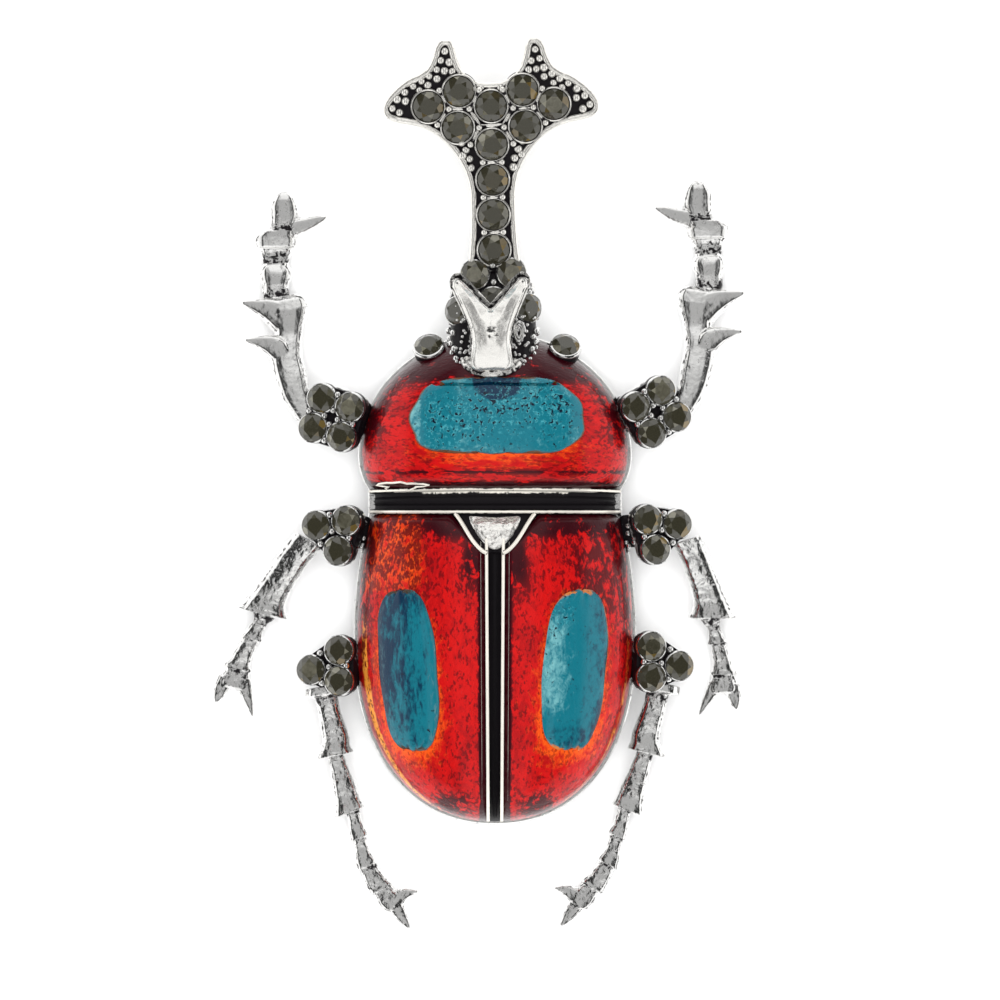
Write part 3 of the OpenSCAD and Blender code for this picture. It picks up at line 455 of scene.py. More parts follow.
def through(rows, steps):
    """More rows between the given ones, on a smooth curve through them."""
    rows = [tuple(row) for row in rows]
    ends = [rows[0]] + rows + [rows[-1]]
    made = []
    for four in zip(ends, ends[1:], ends[2:], ends[3:]):
        for k in range(steps):
            made.append(tuple(spline(*values, k / steps) for values in zip(*four)))
    return made + [rows[-1]]


def fused(obj):
    """One skin round all that a piece is made of, with softened creases, as cast metal has."""
    modify(obj, "REMESH", mode="VOXEL", voxel_size=0.055, use_smooth_shade=True)
    return modify(obj, "SMOOTH", factor=0.5, iterations=4)


def plate(outline, top, thickness, edge):
    """A flat plate with an outline of 2-D points and bevelled edges."""
    obj = circle(len(outline), fill_type="NGON")
    for vertex, point in zip(obj.data.vertices, outline):
        vertex.co = (*point, top)
    opened(obj)
    bpy.ops.mesh.extrude_region_move(TRANSFORM_OT_translate={"value": (0, 0, -thickness)})
    return bevelled(mended(obj, FINE_MERGE), edge)


def tube(points, radius, closed=False):
    """A round wire through the points."""
    let_go()
    data = bpy.data.curves.new("wire", "CURVE")
    data.dimensions = "3D"
    data.bevel_depth = radius
    data.bevel_resolution = 3
    data.use_fill_caps = not closed
    spline = data.splines.new("POLY")
    spline.points.add(len(points) - 1)
    for target, point in zip(spline.points, points):
        target.co = (*point, 1)
    spline.use_cyclic_u = closed
    obj = bpy.data.objects.new("wire", data)
    bpy.context.scene.collection.objects.link(obj)
    take(obj)
    bpy.ops.object.convert(target="MESH")
    return mended(bpy.context.object, FINE_MERGE)


def copied(obj, matrix):
    """A copy of an object, its mesh moved by the matrix."""
    twin = obj.copy()
    twin.data = obj.data.copy()
    bpy.context.scene.collection.objects.link(twin)
    twin.data.transform(matrix)
    return twin


def removed(obj):
    bpy.data.objects.remove(obj)


def joined(parts):
    take(parts[0])
    for part in parts:
        part.select_set(True)
    if len(parts) > 1:
        bpy.ops.object.join()
    return bpy.context.object


def smoothed(obj, crease=35):
    """Shades an object smooth but for edges sharper than the crease, in degrees."""
    take(obj)
    bpy.ops.object.shade_smooth_by_angle(angle=math.radians(crease))
    return obj


def painted(obj, name, values):
    """Gives each point its value of a named attribute."""
    attribute = obj.data.attributes.get(name) or obj.data.attributes.new(name, "FLOAT", "POINT")
    attribute.data.foreach_set("value", values)


def tinted(obj, tint):
    """Paints what tint(place) gives for each point: a value for each of its attributes."""
    tints = [tint(vertex.co) for vertex in obj.data.vertices]
    for name in tints[0]:
        painted(obj, name, [point[name] for point in tints])
    return obj


def blackened(obj, amount):
    """Gives the points a first antique black: amount(place) runs from 0, bare silver, to 1."""
    return tinted(obj, lambda p: {"patina": amount(p)})


def with_painted_shade(obj, values):
    """Adds painted shade as black, where it is stronger than the antique black already there."""
    first = [entry.value for entry in obj.data.attributes["patina"].data]
    painted(obj, "patina", [max(a, b) for a, b in zip(first, values)])


def settled(obj, name, slot, material, *nodes):
    """Lays a finished piece into the frame, in metres, in place of the CAD nodes."""
    take(obj)
    obj.name = name
    obj.data.name = name
    obj.data.transform(Matrix.Scale(METRES, 4) @ Matrix.Translation((mm(settings().body.middle_x), 0, 0)))
    obj.data.update()
    obj.data.materials.clear()
    obj.data.materials.append(material)
    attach(obj, BODY)
    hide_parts(*nodes)
    return obj


def cast(parts, name, finish, crease=CREASE):
    """Joins parts into one piece of the casting and lays it into the frame."""
    return settled(smoothed(joined(parts), crease), name, "antique_silver", finish, CASTING)


# Materials


class Wire:
    """An output of a material's node, with the operators of arithmetic."""

    def __init__(self, paint, socket):
        self.paint = paint
        self.socket = socket

    def _math(self, operation, a, b=0.0, clamp=False):
        options = {"operation": operation, "use_clamp": clamp}
        return self.paint.put("ShaderNodeMath", options, {0: a, 1: b})

    def __add__(self, other):
        return self._math("ADD", self, other)

    def __radd__(self, other):
        return self._math("ADD", other, self)

    def __sub__(self, other):
        return self._math("SUBTRACT", self, other)

    def __rsub__(self, other):
        return self._math("SUBTRACT", other, self)

    def __mul__(self, other):
        return self._math("MULTIPLY", self, other)

    def __rmul__(self, other):
        return self._math("MULTIPLY", other, self)

    def clamped(self):
        return self._math("ADD", self, 0.0, clamp=True)

    def unsigned(self):
        return self._math("ABSOLUTE", self)

    def larger(self, other):
        return self._math("MAXIMUM", self, other)

    def between(self, low, high):
        """0 below low, 1 above high, and smooth between them."""
        options = {"interpolation_type": "SMOOTHSTEP", "clamp": True}
        inputs = {"Value": self, "From Min": low, "From Max": high}
        return self.paint.put("ShaderNodeMapRange", options, inputs)

    def blend(self, a, b):
        """Colour a where this is 0 and colour b where it is 1."""
        options = {"data_type": "RGBA"}
        return self.paint.put("ShaderNodeMix", options, {0: self, 6: a, 7: b}, output=2)


class Paint:
    """A material's node tree, written as expressions."""

    def __init__(self, name, kind="materials"):
        self.block = getattr(bpy.data, kind).new(name)
        self.block.use_nodes = True
        self.tree = self.block.node_tree
        self.tree.nodes.clear()

    def feed(self, socket, value):
        """Links a wire to a socket, or sets the socket's own value."""
        if isinstance(value, Wire):
            self.tree.links.new(value.socket, socket)
        elif socket.type == "RGBA" and len(value) == 3:
            socket.default_value = (*value, 1)
        else:
            socket.default_value = value

    def put(self, kind, options=None, inputs=None, output=0):
        """Any node: its type, its settings, then the values or links of its sockets."""
        node = self.tree.nodes.new(kind)
        for name, value in (options or {}).items():
            setattr(node, name, value)
        for key, value in (inputs or {}).items():
            self.feed(node.inputs[key], value)
        return Wire(self, node.outputs[output])

    def attribute(self, name):
        return self.put("ShaderNodeAttribute", {"attribute_name": name}, output="Fac")

    def place(self, scale):
        place = self.put("ShaderNodeTexCoord", output="Object")
        return self.put("ShaderNodeMapping", inputs={"Vector": place, "Scale": scale})

    def noise(self, size, detail=3, rough=0.55, stretch=(1, 1, 1), warp=0.0):
        """Noise from 0 to 1 whose patches are about size millimetres."""
        inputs = {
            "Vector": self.place(stretch),
            "Scale": 1 / (size * METRES),
            "Detail": detail,
            "Roughness": rough,
            "Distortion": warp,
        }
        return self.put("ShaderNodeTexNoise", inputs=inputs)

    def bump(self, height, depth, strength):
        """The normal over a height from 0 to 1 that stands for a depth in millimetres."""
        inputs = {"Height": height, "Distance": depth * METRES, "Strength": strength}
        return self.put("ShaderNodeBump", inputs=inputs)

    def surface(self, **sockets):
        """Ends the material with a Principled surface."""
        named = {key.replace("_", " "): value for key, value in sockets.items()}
        shader = self.put("ShaderNodeBsdfPrincipled", inputs=named, output="BSDF")
        end = self.tree.nodes.new("ShaderNodeOutputMaterial")
        self.tree.links.new(shader.socket, end.inputs["Surface"])
        return self.block


def once(build):
    """Builds a material the first time its name is asked for, and gives the same one later."""
    def kept(name, *values):
        return bpy.data.materials.get(name) or build(name, *values)
    return kept


@once
def antique_silver(name, hammer=1.0, satin=0.0, dirt=0.0, frost=0.0):
    """Silver plate with shallow hammering and pits, black in its recesses, and black as painted shade
    where a piece is darkened by the way it faces. Frost whitens it.
    """
    f = settings().finish
    p = Paint(name)
    mottling = p.noise(0.9, 4) * 0.24 + p.noise(0.42, 3, 0.65, warp=0.4) * 1.1 - 0.67
    pits = p.noise(0.35, 4, 0.7, warp=0.4).between(0.60, 0.70) * p.noise(2.6, 2).between(0.45, 0.62)
    recess_and_shade = (p.attribute("patina") + mottling).between(0.27, 0.5)
    dark = recess_and_shade.larger(pits * (0.55 + dirt)).clamped()
    bare = [mix(a, b, min(1.0, 2 * frost)) for a, b in zip(f.silver, f.cream)]
    tone = p.noise(1.7, 3).blend(bare, [0.86 * c for c in bare])
    lumps = p.noise(1.25, 2) + p.noise(0.42, 3) * 0.3 - pits * 0.35
    return p.surface(
        Base_Color=dark.blend(tone, f.black),
        Metallic=(1 - dark) * (1 - frost),
        Roughness=dark * 0.26 + p.noise(0.7, 4) * 0.1 + (0.09 + satin),
        Specular_IOR_Level=0.15,
        Normal=p.bump(lumps, 0.16 * hammer, 0.6),
    )


@once
def red_enamel(name, across, along):
    """Transparent red enamel over crinkled foil: orange where thin, maroon where thick and where shade
    is painted, with a painted gold reflection where it glows. Its grain is drawn out by the two
    shares, across and along the body."""
    f = settings().finish
    p = Paint(name)
    drawn = (across, along, 1)
    grain = p.noise(0.5, 3, 0.62, drawn, 0.5)
    blob = p.noise(0.95, 4, 0.62, drawn, 0.8)
    fine = p.noise(0.24, 2, 0.6, drawn)
    wide = p.noise(3.5, 2)
    shade = p.attribute("shade")
    thin = (p.attribute("halo") * 1.2 + (grain - 0.5) * 1.7 + (wide - 0.5) * 0.5).between(0.3, 1.0)
    speck = grain * 0.5 + fine * 0.5
    blotch = blob * 0.62 + grain * 0.38
    pattern = speck + (blotch - speck) * shade.between(0.1, 0.45) + (wide - 0.5) * 0.12
    # The dark cover grows with the shade attribute: thick enamel and painted shade.
    thick = (pattern + shade * 0.26).between(0.505, 0.59)
    # Painted reflection: a gold line where the glow attribute is set.
    glow = (p.attribute("glow") + (blob - 0.5) * 1.2).between(0.35, 0.85)
    body = thin.blend(f.red, f.orange)
    dull = (blob * 0.7 + wide * 0.3).between(0.42, 0.6) * (1 - thin) * 0.75
    body = dull.blend(body, f.dull_red)
    body = glow.blend(body, f.gold_reflection)
    deep = shade.between(0.05, 0.5).blend(f.dark_red, f.maroon)
    cover = thick * (0.97 - (1 - shade.between(0.05, 0.3)) * thin * 0.4)
    return p.surface(
        Base_Color=cover.blend(body, deep),
        Metallic=0.35,
        Roughness=0.3 + fine * 0.15,
        Specular_IOR_Level=0.15,
        Normal=p.bump(blob * 0.8 + grain * 0.6 + fine * 0.4, 0.12, 0.8),
        Coat_Weight=0.6,
        Coat_Roughness=0.03,
        Coat_IOR=1.32,
    )


@once
def teal_enamel(name, depth, milk_and_sheen, rim, across, along, brush):
    """Teal enamel with dark pits, milky places and painted reflections, pale and dark. The rim is its
    colour where it thins out; the grain is drawn out by the two shares, across and along the body,
    and brush is its strength."""
    f = settings().finish
    p = Paint(name)
    drawn = (across, along, 1)
    cloud = p.noise(1.8, 4, 0.6, drawn, 0.7)
    grain = p.noise(0.46, 4, 0.66, drawn, 0.5)
    flake = p.noise(0.3, 3, 0.65)
    stroke = (grain - 0.5) * brush
    # Deep teal follows the shade attribute, which on the shield's drop holds the painted dark reflection of the
    # crest.
    deep = (p.attribute("shade") + (cloud - 0.5) * 1.4 + stroke).between(0.9 - depth, 1.45 - depth)
    # Pale is milky enamel and painted pale reflections.
    pale = (p.attribute("glow") + (cloud - 0.5) + stroke).between(0.85 - milk_and_sheen, 1.6 - milk_and_sheen)
    speck = (grain * 0.5 + flake * 0.5).between(0.44, 0.36) * (0.3 * brush)
    pits = p.attribute("pits")
    hole = p.noise(0.34, 3, 0.5, (1.1, 1, 1), 0.5) + pits
    holes = hole.between(0.67, 0.77)
    shore = hole.between(0.56, 0.66) * pits.between(0.03, 0.1) * flake.between(0.4, 0.62) * 0.5
    edge = (p.attribute("edge") + (grain - 0.5) * 0.9).between(0.45, 1.0)
    body = deep.blend(f.teal, f.deep_teal)
    body = pale.blend(body, f.pale_teal)
    body = speck.blend(body, f.deep_teal)
    body = shore.blend(body, f.pit_edge)
    body = holes.blend(body, f.pit)
    return p.surface(
        Base_Color=edge.blend(body, rim),
        Metallic=0.2,
        Roughness=0.28 + grain * 0.15,
        Specular_IOR_Level=0.15,
        Normal=p.bump(grain + cloud * 0.6 - holes * 0.9, 0.12, 0.8),
        Coat_Weight=0.7,
        Coat_Roughness=0.03,
        Coat_IOR=1.4,
    )


@once
def smoky_glass(name):
    """Smoky cut glass over foil: each facet has its own tone, with painted glints."""
    f = settings().finish
    p = Paint(name)
    tone = p.attribute("tone")
    swirl = p.noise(0.5, 3, 0.6, warp=0.8)
    lit = (tone + (swirl - 0.5) * 0.35).between(0.6, 1.25)
    # Painted glint: a few facets turn amber.
    warm_glint = (1 - tone).between(0.93, 0.99) * 0.6
    body = lit.blend(f.smoke, f.glint)
    return p.surface(
        Base_Color=warm_glint.blend(body, f.amber_glint),
        Metallic=0.15,
        Roughness=0.06 + swirl * 0.1,
        Normal=p.bump(swirl, 0.012, 0.5),
        Coat_Weight=0.8,
        Coat_Roughness=0.02,
        Coat_IOR=1.6,
    )


@once
def pin_steel(name):
    """Nickel-plated steel with fine scratches."""
    f = settings().finish
    p = Paint(name)
    scratch = p.noise(0.12, 3, 0.6, (1, 0.06, 1))
    cloud = p.noise(2.5, 3)
    return p.surface(
        Base_Color=cloud.blend(f.dull_nickel, f.nickel),
        Metallic=1.0,
        Roughness=scratch * 0.22 + cloud * 0.1 + 0.14,
        Normal=p.bump(scratch, 0.01, 0.6),
    )


@once
def pale_floor(name):
    """Matt white that is a little uneven."""
    f = settings().finish
    p = Paint(name)
    tone = p.noise(40, 3).blend(f.floor, tuple(0.97 * c for c in f.floor))
    return p.surface(Base_Color=tone, Roughness=0.85, Specular_IOR_Level=0.1)


def silver():
    return antique_silver("silver_plate")


# Body


def ridge_half(y):
    """Half width of the ridge, narrower towards the tail."""
    b = settings().body
    t = (wings_front() - y) / mm(b.wings_l)
    return mix(mm(b.ridge_w), mm(b.ridge_tail), t) / 2


def bare_half(y):
    """Half width of what the enamel leaves free: the ridge or the triangle plate."""
    b = settings().body
    along = 1 - (wings_front() - y) / mm(b.plate_l)
    widest = mm(b.plate_w) / 2 + 0.2
    plate_half = widest * max(0.0, along) ** 0.8 + 0.25 * smooth(-0.3, 0, along)
    return 0.05 + max(ridge_half(y), plate_half)


def rim_outline(out):
    """Points of the body's outline in plan, from the front round the left side, out of the enamel."""
    wings, shield = wing_dome(), shield_dome()
    count = 56
    shares = [k / count for k in range(count + 1)]
    rows = [(shield, shield.run(shield_y(0), shield_y(0.9999), 1 - t)) for t in shares]
    rows += [(wings, wings.run(wings_front(), tail_y() + 0.001, t)) for t in shares]
    points = offset([(dome.half_at(y), y) for dome, y in rows], out)
    return points + [(-x, y) for x, y in reversed(points)]


def rim_ring(parts):
    """The rim round the open back: a bar that is rounded outside."""
    b = settings().body
    low, high = mm(b.back_z), mm(b.back_z) + mm(b.rim_t)
    ledge = mm(b.rim_out)
    profile = [
        (-2.0, low), (ledge - 0.1, low), (ledge, low + 0.1),
        (ledge, high - 0.12), (ledge - 0.1, high), (-2.0, high),
    ]
    rings = [rim_outline(out) for out, _ in profile]
    around = len(rings[0])

    def place(u, v):
        k = round(u * around) % around
        j = round(v * len(profile)) % len(profile)
        return (*rings[j][k], profile[j][1])

    parts.append(mended(laid_grid(around, len(profile), place)))


def dome_wall(dome, start, end, cols, rows):
    """A domed wall of metal under the enamel."""
    b = settings().body
    inner = dome.inset(mm(b.enamel_t) + 0.1)
    shrink = inner.front / dome.front if dome.round_front else inner.back / dome.back
    far = inner.middle + (end - dome.middle) * shrink

    def place(u, v):
        point = inner.arch(inner.run(start, far, v), math.pi * u)
        if point.z < dome.base + 0.001:
            point.z = mm(b.back_z) + 0.1
        return point

    return thickened(mended(laid_grid(cols, rows, place)), mm(b.metal_t), use_even_offset=False)


def waist_band(parts):
    """The black band between shield and wing cases, with a rail on each side."""
    b = settings().body
    wings = wing_dome()
    front, back = mm(b.shield_back) - 0.02, wings_front() + 0.02
    rail = mm(b.rail_w)
    profile = [
        (front, -0.7), (front, 0.06), (front - 0.1, 0.2), (front - rail + 0.08, 0.2),
        (front - rail, 0.08), (front - rail - 0.06, -0.3), (mix(front, back, 0.38), -0.34),
        (mix(front, back, 0.5), -0.2), (mix(front, back, 0.62), -0.34), (back + rail + 0.06, -0.3),
        (back + rail, 0.08), (back + rail - 0.08, 0.2), (back + 0.1, 0.2), (back, 0.06), (back, -0.7),
    ]
    last = len(profile) - 1

    def place(u, v):
        y, lift = profile[min(last, round(v * last))]
        bow = 0.35 * (1 - smooth(0, 1, abs(2 * u - 1))) if y > mix(front, back, 0.5) else 0.0
        point = wings.arch(wings_front(), math.pi * u, lift)
        point.y = y + bow * 0.6
        return point

    def between_rails(p):
        return 1.0 if back + rail - 0.02 < p.y and p.y - 0.1 < front - rail - 0.02 else 0.0

    band = thickened(mended(laid_grid(96, last, place)), 0.8)
    parts.append(blackened(band, between_rails))


def ridge_strip(parts):
    """Two thin rails with a black groove between them, along the middle of the wing cases."""
    b = settings().body
    wings = wing_dome()
    rail = mm(b.rail_w) * 0.8
    profile = [
        (1, -0.6), (1, 0.04), (0.97, 0.14), (0.5, 0.18),
        (0.03, 0.14), (0, 0.04), (-0.12, -0.3), (-0.4, -0.42),
    ]
    last = 2 * len(profile) - 1
    start = wings_front() - mm(b.plate_l) * 0.62

    def place(u, v):
        k = min(last, round(u * last))
        side = RIGHT if k < len(profile) else LEFT
        part, lift = profile[min(k, last - k)]
        y = wings.run(start, tail_y(), v)
        x = ridge_half(y) - rail * (1 - part)
        return Vector((side * x, y, wings.base + max(wings.top_at(y) + lift, -0.25)))

    def in_groove(p):
        return 1.0 if abs(p.x) < ridge_half(p.y) - rail - 0.01 else 0.0

    strip = thickened(mended(laid_grid(last, 110, place)), 0.6)
    parts.append(blackened(strip, in_groove))


def triangle_plate(parts):
    """The small plate behind the waist: a V of silver round a pitted heart."""
    b = settings().body
    wings = wing_dome()
    half, depth, front = mm(b.plate_w) / 2, mm(b.plate_l), wings_front()

    def edge(t):
        return half * (1 - t) ** 0.8 + ridge_half(front) * smooth(0, 1, t) * 0.8

    def ground(u, v):
        x = (2 * u - 1) * (edge(v) + 0.1)
        return wings.skin(x, front + 0.1 - v * depth, -0.14)

    def heart(u, v):
        t = 0.05 + v * 0.84
        side = 2 * u - 1
        wide = half * 0.64 * bulge(v * 0.98, 1.5) + 0.05
        notch = 0.22 * (1 - abs(side)) * (1 - smooth(0, 0.3, v))
        rise = 0.22 * bulge(side, 4) * (0.45 + 0.55 * smooth(0, 0.25, v))
        return wings.skin(side * wide, front - t * depth - notch * 0.6, rise - 0.06)

    field = thickened(mended(laid_grid(24, 16, ground)), 0.5)
    parts.append(blackened(field, lambda p: 1.0))
    pitted = thickened(mended(laid_grid(28, 22, heart)), 0.4)
    cast([pitted], "plate_heart", antique_silver("silver_pitted", 2.6, 0.08, 0.45, 0.15))
    for side in (LEFT, RIGHT):
        line = [wings.skin(side * edge(t / 20), front - t / 20 * depth, 0.1) for t in range(21)]
        parts.append(tube(line, 0.16))


def overflow(parts):
    """A small irregular ring of silver that ran over the shield's rear edge, at its left."""
    shield = shield_dome()
    loop = []
    for k in range(28):
        a = math.tau * k / 28
        wave = 1 + 0.2 * math.sin(3 * a + 0.6) + 0.16 * math.sin(5 * a) + 0.08 * math.sin(9 * a)
        x, y = -7.4 + 1.6 * math.cos(a) * wave, -0.05 + 0.3 * math.sin(a) * wave
        loop.append(shield.skin(x, max(y, -0.35), 0.06))
    parts.append(tube(loop, 0.1, closed=True))


def rivet_posts(parts):
    """The posts inside the hollow that the pin's bar is riveted to, each with its rivet."""
    _, pin_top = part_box("pin_back")
    bar = mm(pin_top.z)
    for y, dome in ((1.9, shield_dome()), (-13.1, wing_dome())):
        top = dome.skin(0, y).z - 1.0
        post = [(bar + 0.05, 1.7), (bar + 0.3, 1.7), (top, 1.5)]
        rivet = [
            (bar - 1.22, 0.6), (bar - 1.16, 1.05), (bar - 0.95, 1.27), (bar - 0.86, 1.27),
            (bar - 0.85, 0.84), (bar + 0.1, 0.84),
        ]
        for rows in (post, rivet):
            parts.append(smoothed(lofted([((0, y, z), radius, radius) for z, radius in rows], 32)))


# Enamel


# The drops of the wing cases: their distance from the middle plane, in shares of the half width, and
# their half width in millimetres
WING_DROP_OUT = {LEFT: 0.622, RIGHT: 0.564}
WING_DROP_HALF = {LEFT: 1.9, RIGHT: 2.12}


@dataclass
class Drop:
    """A teal drop's outline in plan: a slanted superellipse that may narrow towards its front."""

    middle: Vector
    half: float
    long: float
    slant: float
    power: float
    taper: float

    def narrowed(self, t):
        """Share of the width that is left at t, which runs from -1, behind, to 1, in front."""
        return 1 - self.taper * smooth(-0.2, 1.0, t)

    def outside(self, p):
        """Distance of a point from the outline, or 0 inside it."""
        dy = (p.y - self.middle.y) / self.long
        dx = (p.x - self.middle.x - self.slant * dy) / (self.half * self.narrowed(dy))
        dx = max(abs(dx), 1e-3)
        f = (dx ** self.power + abs(dy) ** self.power) ** (1 / self.power)
        return max(0.0, math.hypot(dx * self.half, dy * self.long) * (1 - 1 / f))


def drop_of(name):
    b = settings().body
    if name == "neck_shield":
        return Drop(Vector((0.2, shield_y(0.475))), 6.2, 2.6, slant=0.0, power=4.4, taper=0.14)
    side = LEFT if name == "left_wing" else RIGHT
    out = side * WING_DROP_OUT[side] * mm(b.wings_w) / 2
    middle = Vector((out, wings_front() - 0.505 * mm(b.wings_l)))
    return Drop(middle, WING_DROP_HALF[side], 5.72, slant=side * 0.5, power=3.2, taper=0.0)


def glazed(obj, name, finish):
    """Thickens a sheet of red enamel and lays it into the frame."""
    smoothed(thickened(obj, mm(settings().body.enamel_t) - 0.1), 50)
    return settled(obj, f"{name}_glaze", "red_enamel", finish, f"{name}_enamel")


def wing_enamel(side, name):
    """The red enamel of a wing case. It sinks a little where it meets waist and ridge."""
    b = settings().body
    wings = wing_dome()
    front = wings_front() - 0.05
    drop = drop_of(name)

    def place(u, v):
        y = wings.run(front, tail_y() + 0.002, v)
        inside = wings.angle_to(y, bare_half(y))
        base = wings.arch(y, inside * u)
        near = min(max(0.0, base.x - bare_half(y)), front - y + 0.02)
        sink = 0.32 * (1 - smooth(0, 0.55, near)) ** 2
        point = wings.arch(y, inside * u, -sink)
        return Vector((side * point.x, point.y, point.z + ENAMEL_LIFT))

    def tint(p):
        x = abs(p.x)
        down = (wings_front() - p.y) / mm(b.wings_l)
        off = drop.outside(p)
        height = (p.z - wings.base) / max(0.4, wings.top_at(p.y))
        below = smooth(drop.middle.y, drop.middle.y - 7.5, p.y)
        lower = 0.5 + 0.5 * below
        halo = 0.95 * math.exp(-off / 1.1) * (0.75 + 0.25 * lower) + 0.45 * below * math.exp(-off / 3)
        by_plate = smooth(0.34, 0.12, down) * smooth(2.6, 1.2, x - 4.2 * down)
        corner = max(smooth(0.13, 0.03, down), by_plate)
        if side == LEFT:
            blobs = smooth(0.36, 0.2, down) * smooth(4.4, 6.4, x)
            halo = max(halo, 0.62 * blobs)
            corner = max(0.6 * corner * (1 - 0.5 * blobs), 0.24 * blobs)
            glow_height, glow_share = 0.42, 1.0
        else:
            corner = max(0.6 * corner, 0.3 * smooth(0.44, 0.26, down) * smooth(4.2, 6.8, x))
            glow_height, glow_share = 0.36, 0.55
        by_ridge = 1.3 * (1 - smooth(0.25, 0.62, x - bare_half(p.y)))
        # Painted shade on the flanks and a painted dark reflection low by the rim; the shade attribute also darkens
        # the corners by the waist and plate, the ridge's edge and a patch near the tail.
        flank = smooth(0.72, 0.35, height) * smooth(0.62, 0.25, down)
        rim = smooth(0.24, 0.12, height)
        tail = smooth(2.4, 0.6, abs(x - 3.4)) * smooth(0.06, 0.02, abs(down - 0.945))
        # Painted reflection: a gold line along each flank at one height, stronger on the left.
        level = math.exp(-((height - glow_height) / 0.07) ** 2)
        return {
            "halo": halo,
            "shade": max(corner, by_ridge, 0.4 * flank, rim, 0.4 * tail),
            "glow": level * glow_share * smooth(0.22, 0.4, down),
        }

    sheet = tinted(mended(laid_grid(84, 150, place)), tint)
    return glazed(sheet, name, red_enamel("red_enamel_wings", 1.15, 0.6))


def shield_enamel():
    """The red enamel of the shield. It sinks a little where it meets the waist."""
    b = settings().body
    shield = shield_dome()
    back = shield_y(0) + 0.05
    name = "neck_shield"
    drop = drop_of(name)

    def place(u, v):
        y = shield.run(back, shield_y(0.985), v)
        sink = 0.3 * (1 - smooth(0, 0.5, y - back + 0.02)) ** 2
        return shield.arch(y, math.pi * u, -sink) + Vector((0, 0, ENAMEL_LIFT))

    def tint(p):
        along = (p.y - back) / mm(b.shield_l)
        height = (p.z - shield.base) / max(0.4, shield.top_at(p.y))
        behind = smooth(0.42, 0.22, along)
        front = smooth(0.6, 0.78, along)
        line = 0.5 * math.exp(-((along - 0.105) / 0.014) ** 2)
        # Painted shade low by the rim, on the flanks and at the rear edge where the enamel bends down; the shade
        # attribute also darkens the front and a line near the rear.
        rear = smooth(0.07, 0.0, along)
        rim = smooth(0.3, 0.12, height)
        flank = 0.4 * smooth(0.8, 0.45, height) * smooth(0.15, 0.4, along)
        return {
            "halo": math.exp(-drop.outside(p) / 0.9) * (0.2 + 0.7 * behind) + 0.2 * behind,
            "shade": max(0.72 * front, rear, line, rim, flank),
            "glow": 0.0,
        }

    sheet = tinted(mended(laid_grid(150, 84, place)), tint)
    return glazed(sheet, name, red_enamel("red_enamel_shield", 0.45, 1.25))


def shield_drop_tint(out, up):
    """The shield's drop: a dark half disc in front, a painted reflection of the crest, with painted pale
    reflections beside it and a painted highlight along its left edge; pale behind it, pitted all over.
    """
    # Painted reflection of the crest: a dark half disc in front.
    crest_reflection = smooth(1.08, 0.78, math.hypot(out / 0.33, (up - 1) / 0.66))
    # Painted pale reflections beside the dark one.
    beside = smooth(0.14, 0.02, abs(abs(out) - 0.46)) * smooth(0.1, 0.7, up)
    band = math.exp(-((up - 0.05 - 0.25 * math.sin(2.6 * out + 0.5)) / 0.6) ** 2)
    return {
        "shade": 1.1 * crest_reflection + 0.12,
        # Pale behind, painted pale reflections beside the crest's and a painted highlight along the left edge.
        "glow": max(0.42 * smooth(0.2, -0.7, up), 0.6 * beside, 0.75 * smooth(-0.9, -0.98, out)),
        "pits": (0.05 + 0.075 * band) * smooth(1.0, 0.85, abs(out)),
    }


def left_drop_tint(out, up):
    """The left wing case's drop: deep outside, pale along its inner side, and a painted pale reflection
    along its outer edge.
    """
    return {
        "shade": 0.35 + 0.45 * smooth(0.5, -0.9, out) * smooth(-1.1, -0.2, up),
        # The second term is a painted pale reflection along the outer edge.
        "glow": 0.6 * smooth(0.5, 0.95, out) + 0.45 * smooth(-0.72, -0.9, out),
        "pits": 0.0,
    }


def right_drop_tint(out, up):
    """The right wing case's drop: milky inside and deeper outside and behind."""
    milky = smooth(0.75, -0.85, out) * smooth(-1.0, -0.3, up) * smooth(1.1, 0.5, up)
    return {
        "shade": 0.12 + 0.4 * smooth(-0.1, 0.95, out) + 0.25 * smooth(-0.45, -0.95, up),
        "glow": 0.15 + 0.62 * milky,
        "pits": 0.08 * smooth(0.2, 0.7, up) * smooth(0.6, -0.4, out),
    }


# Each drop: how it is tinted, then the values of its teal enamel
DROPS = {
    "left_wing": (left_drop_tint, 0.62, 0.3, (0.03, 0.02, 0.01), 1.5, 0.5, 1.6),
    "right_wing": (right_drop_tint, 0.62, 0.42, (0.5, 0.16, 0.04), 1.2, 0.7, 1.2),
    "neck_shield": (shield_drop_tint, 0.42, 0.42, (0.10, 0.035, 0.01), 1.0, 1.0, 1.5),
}


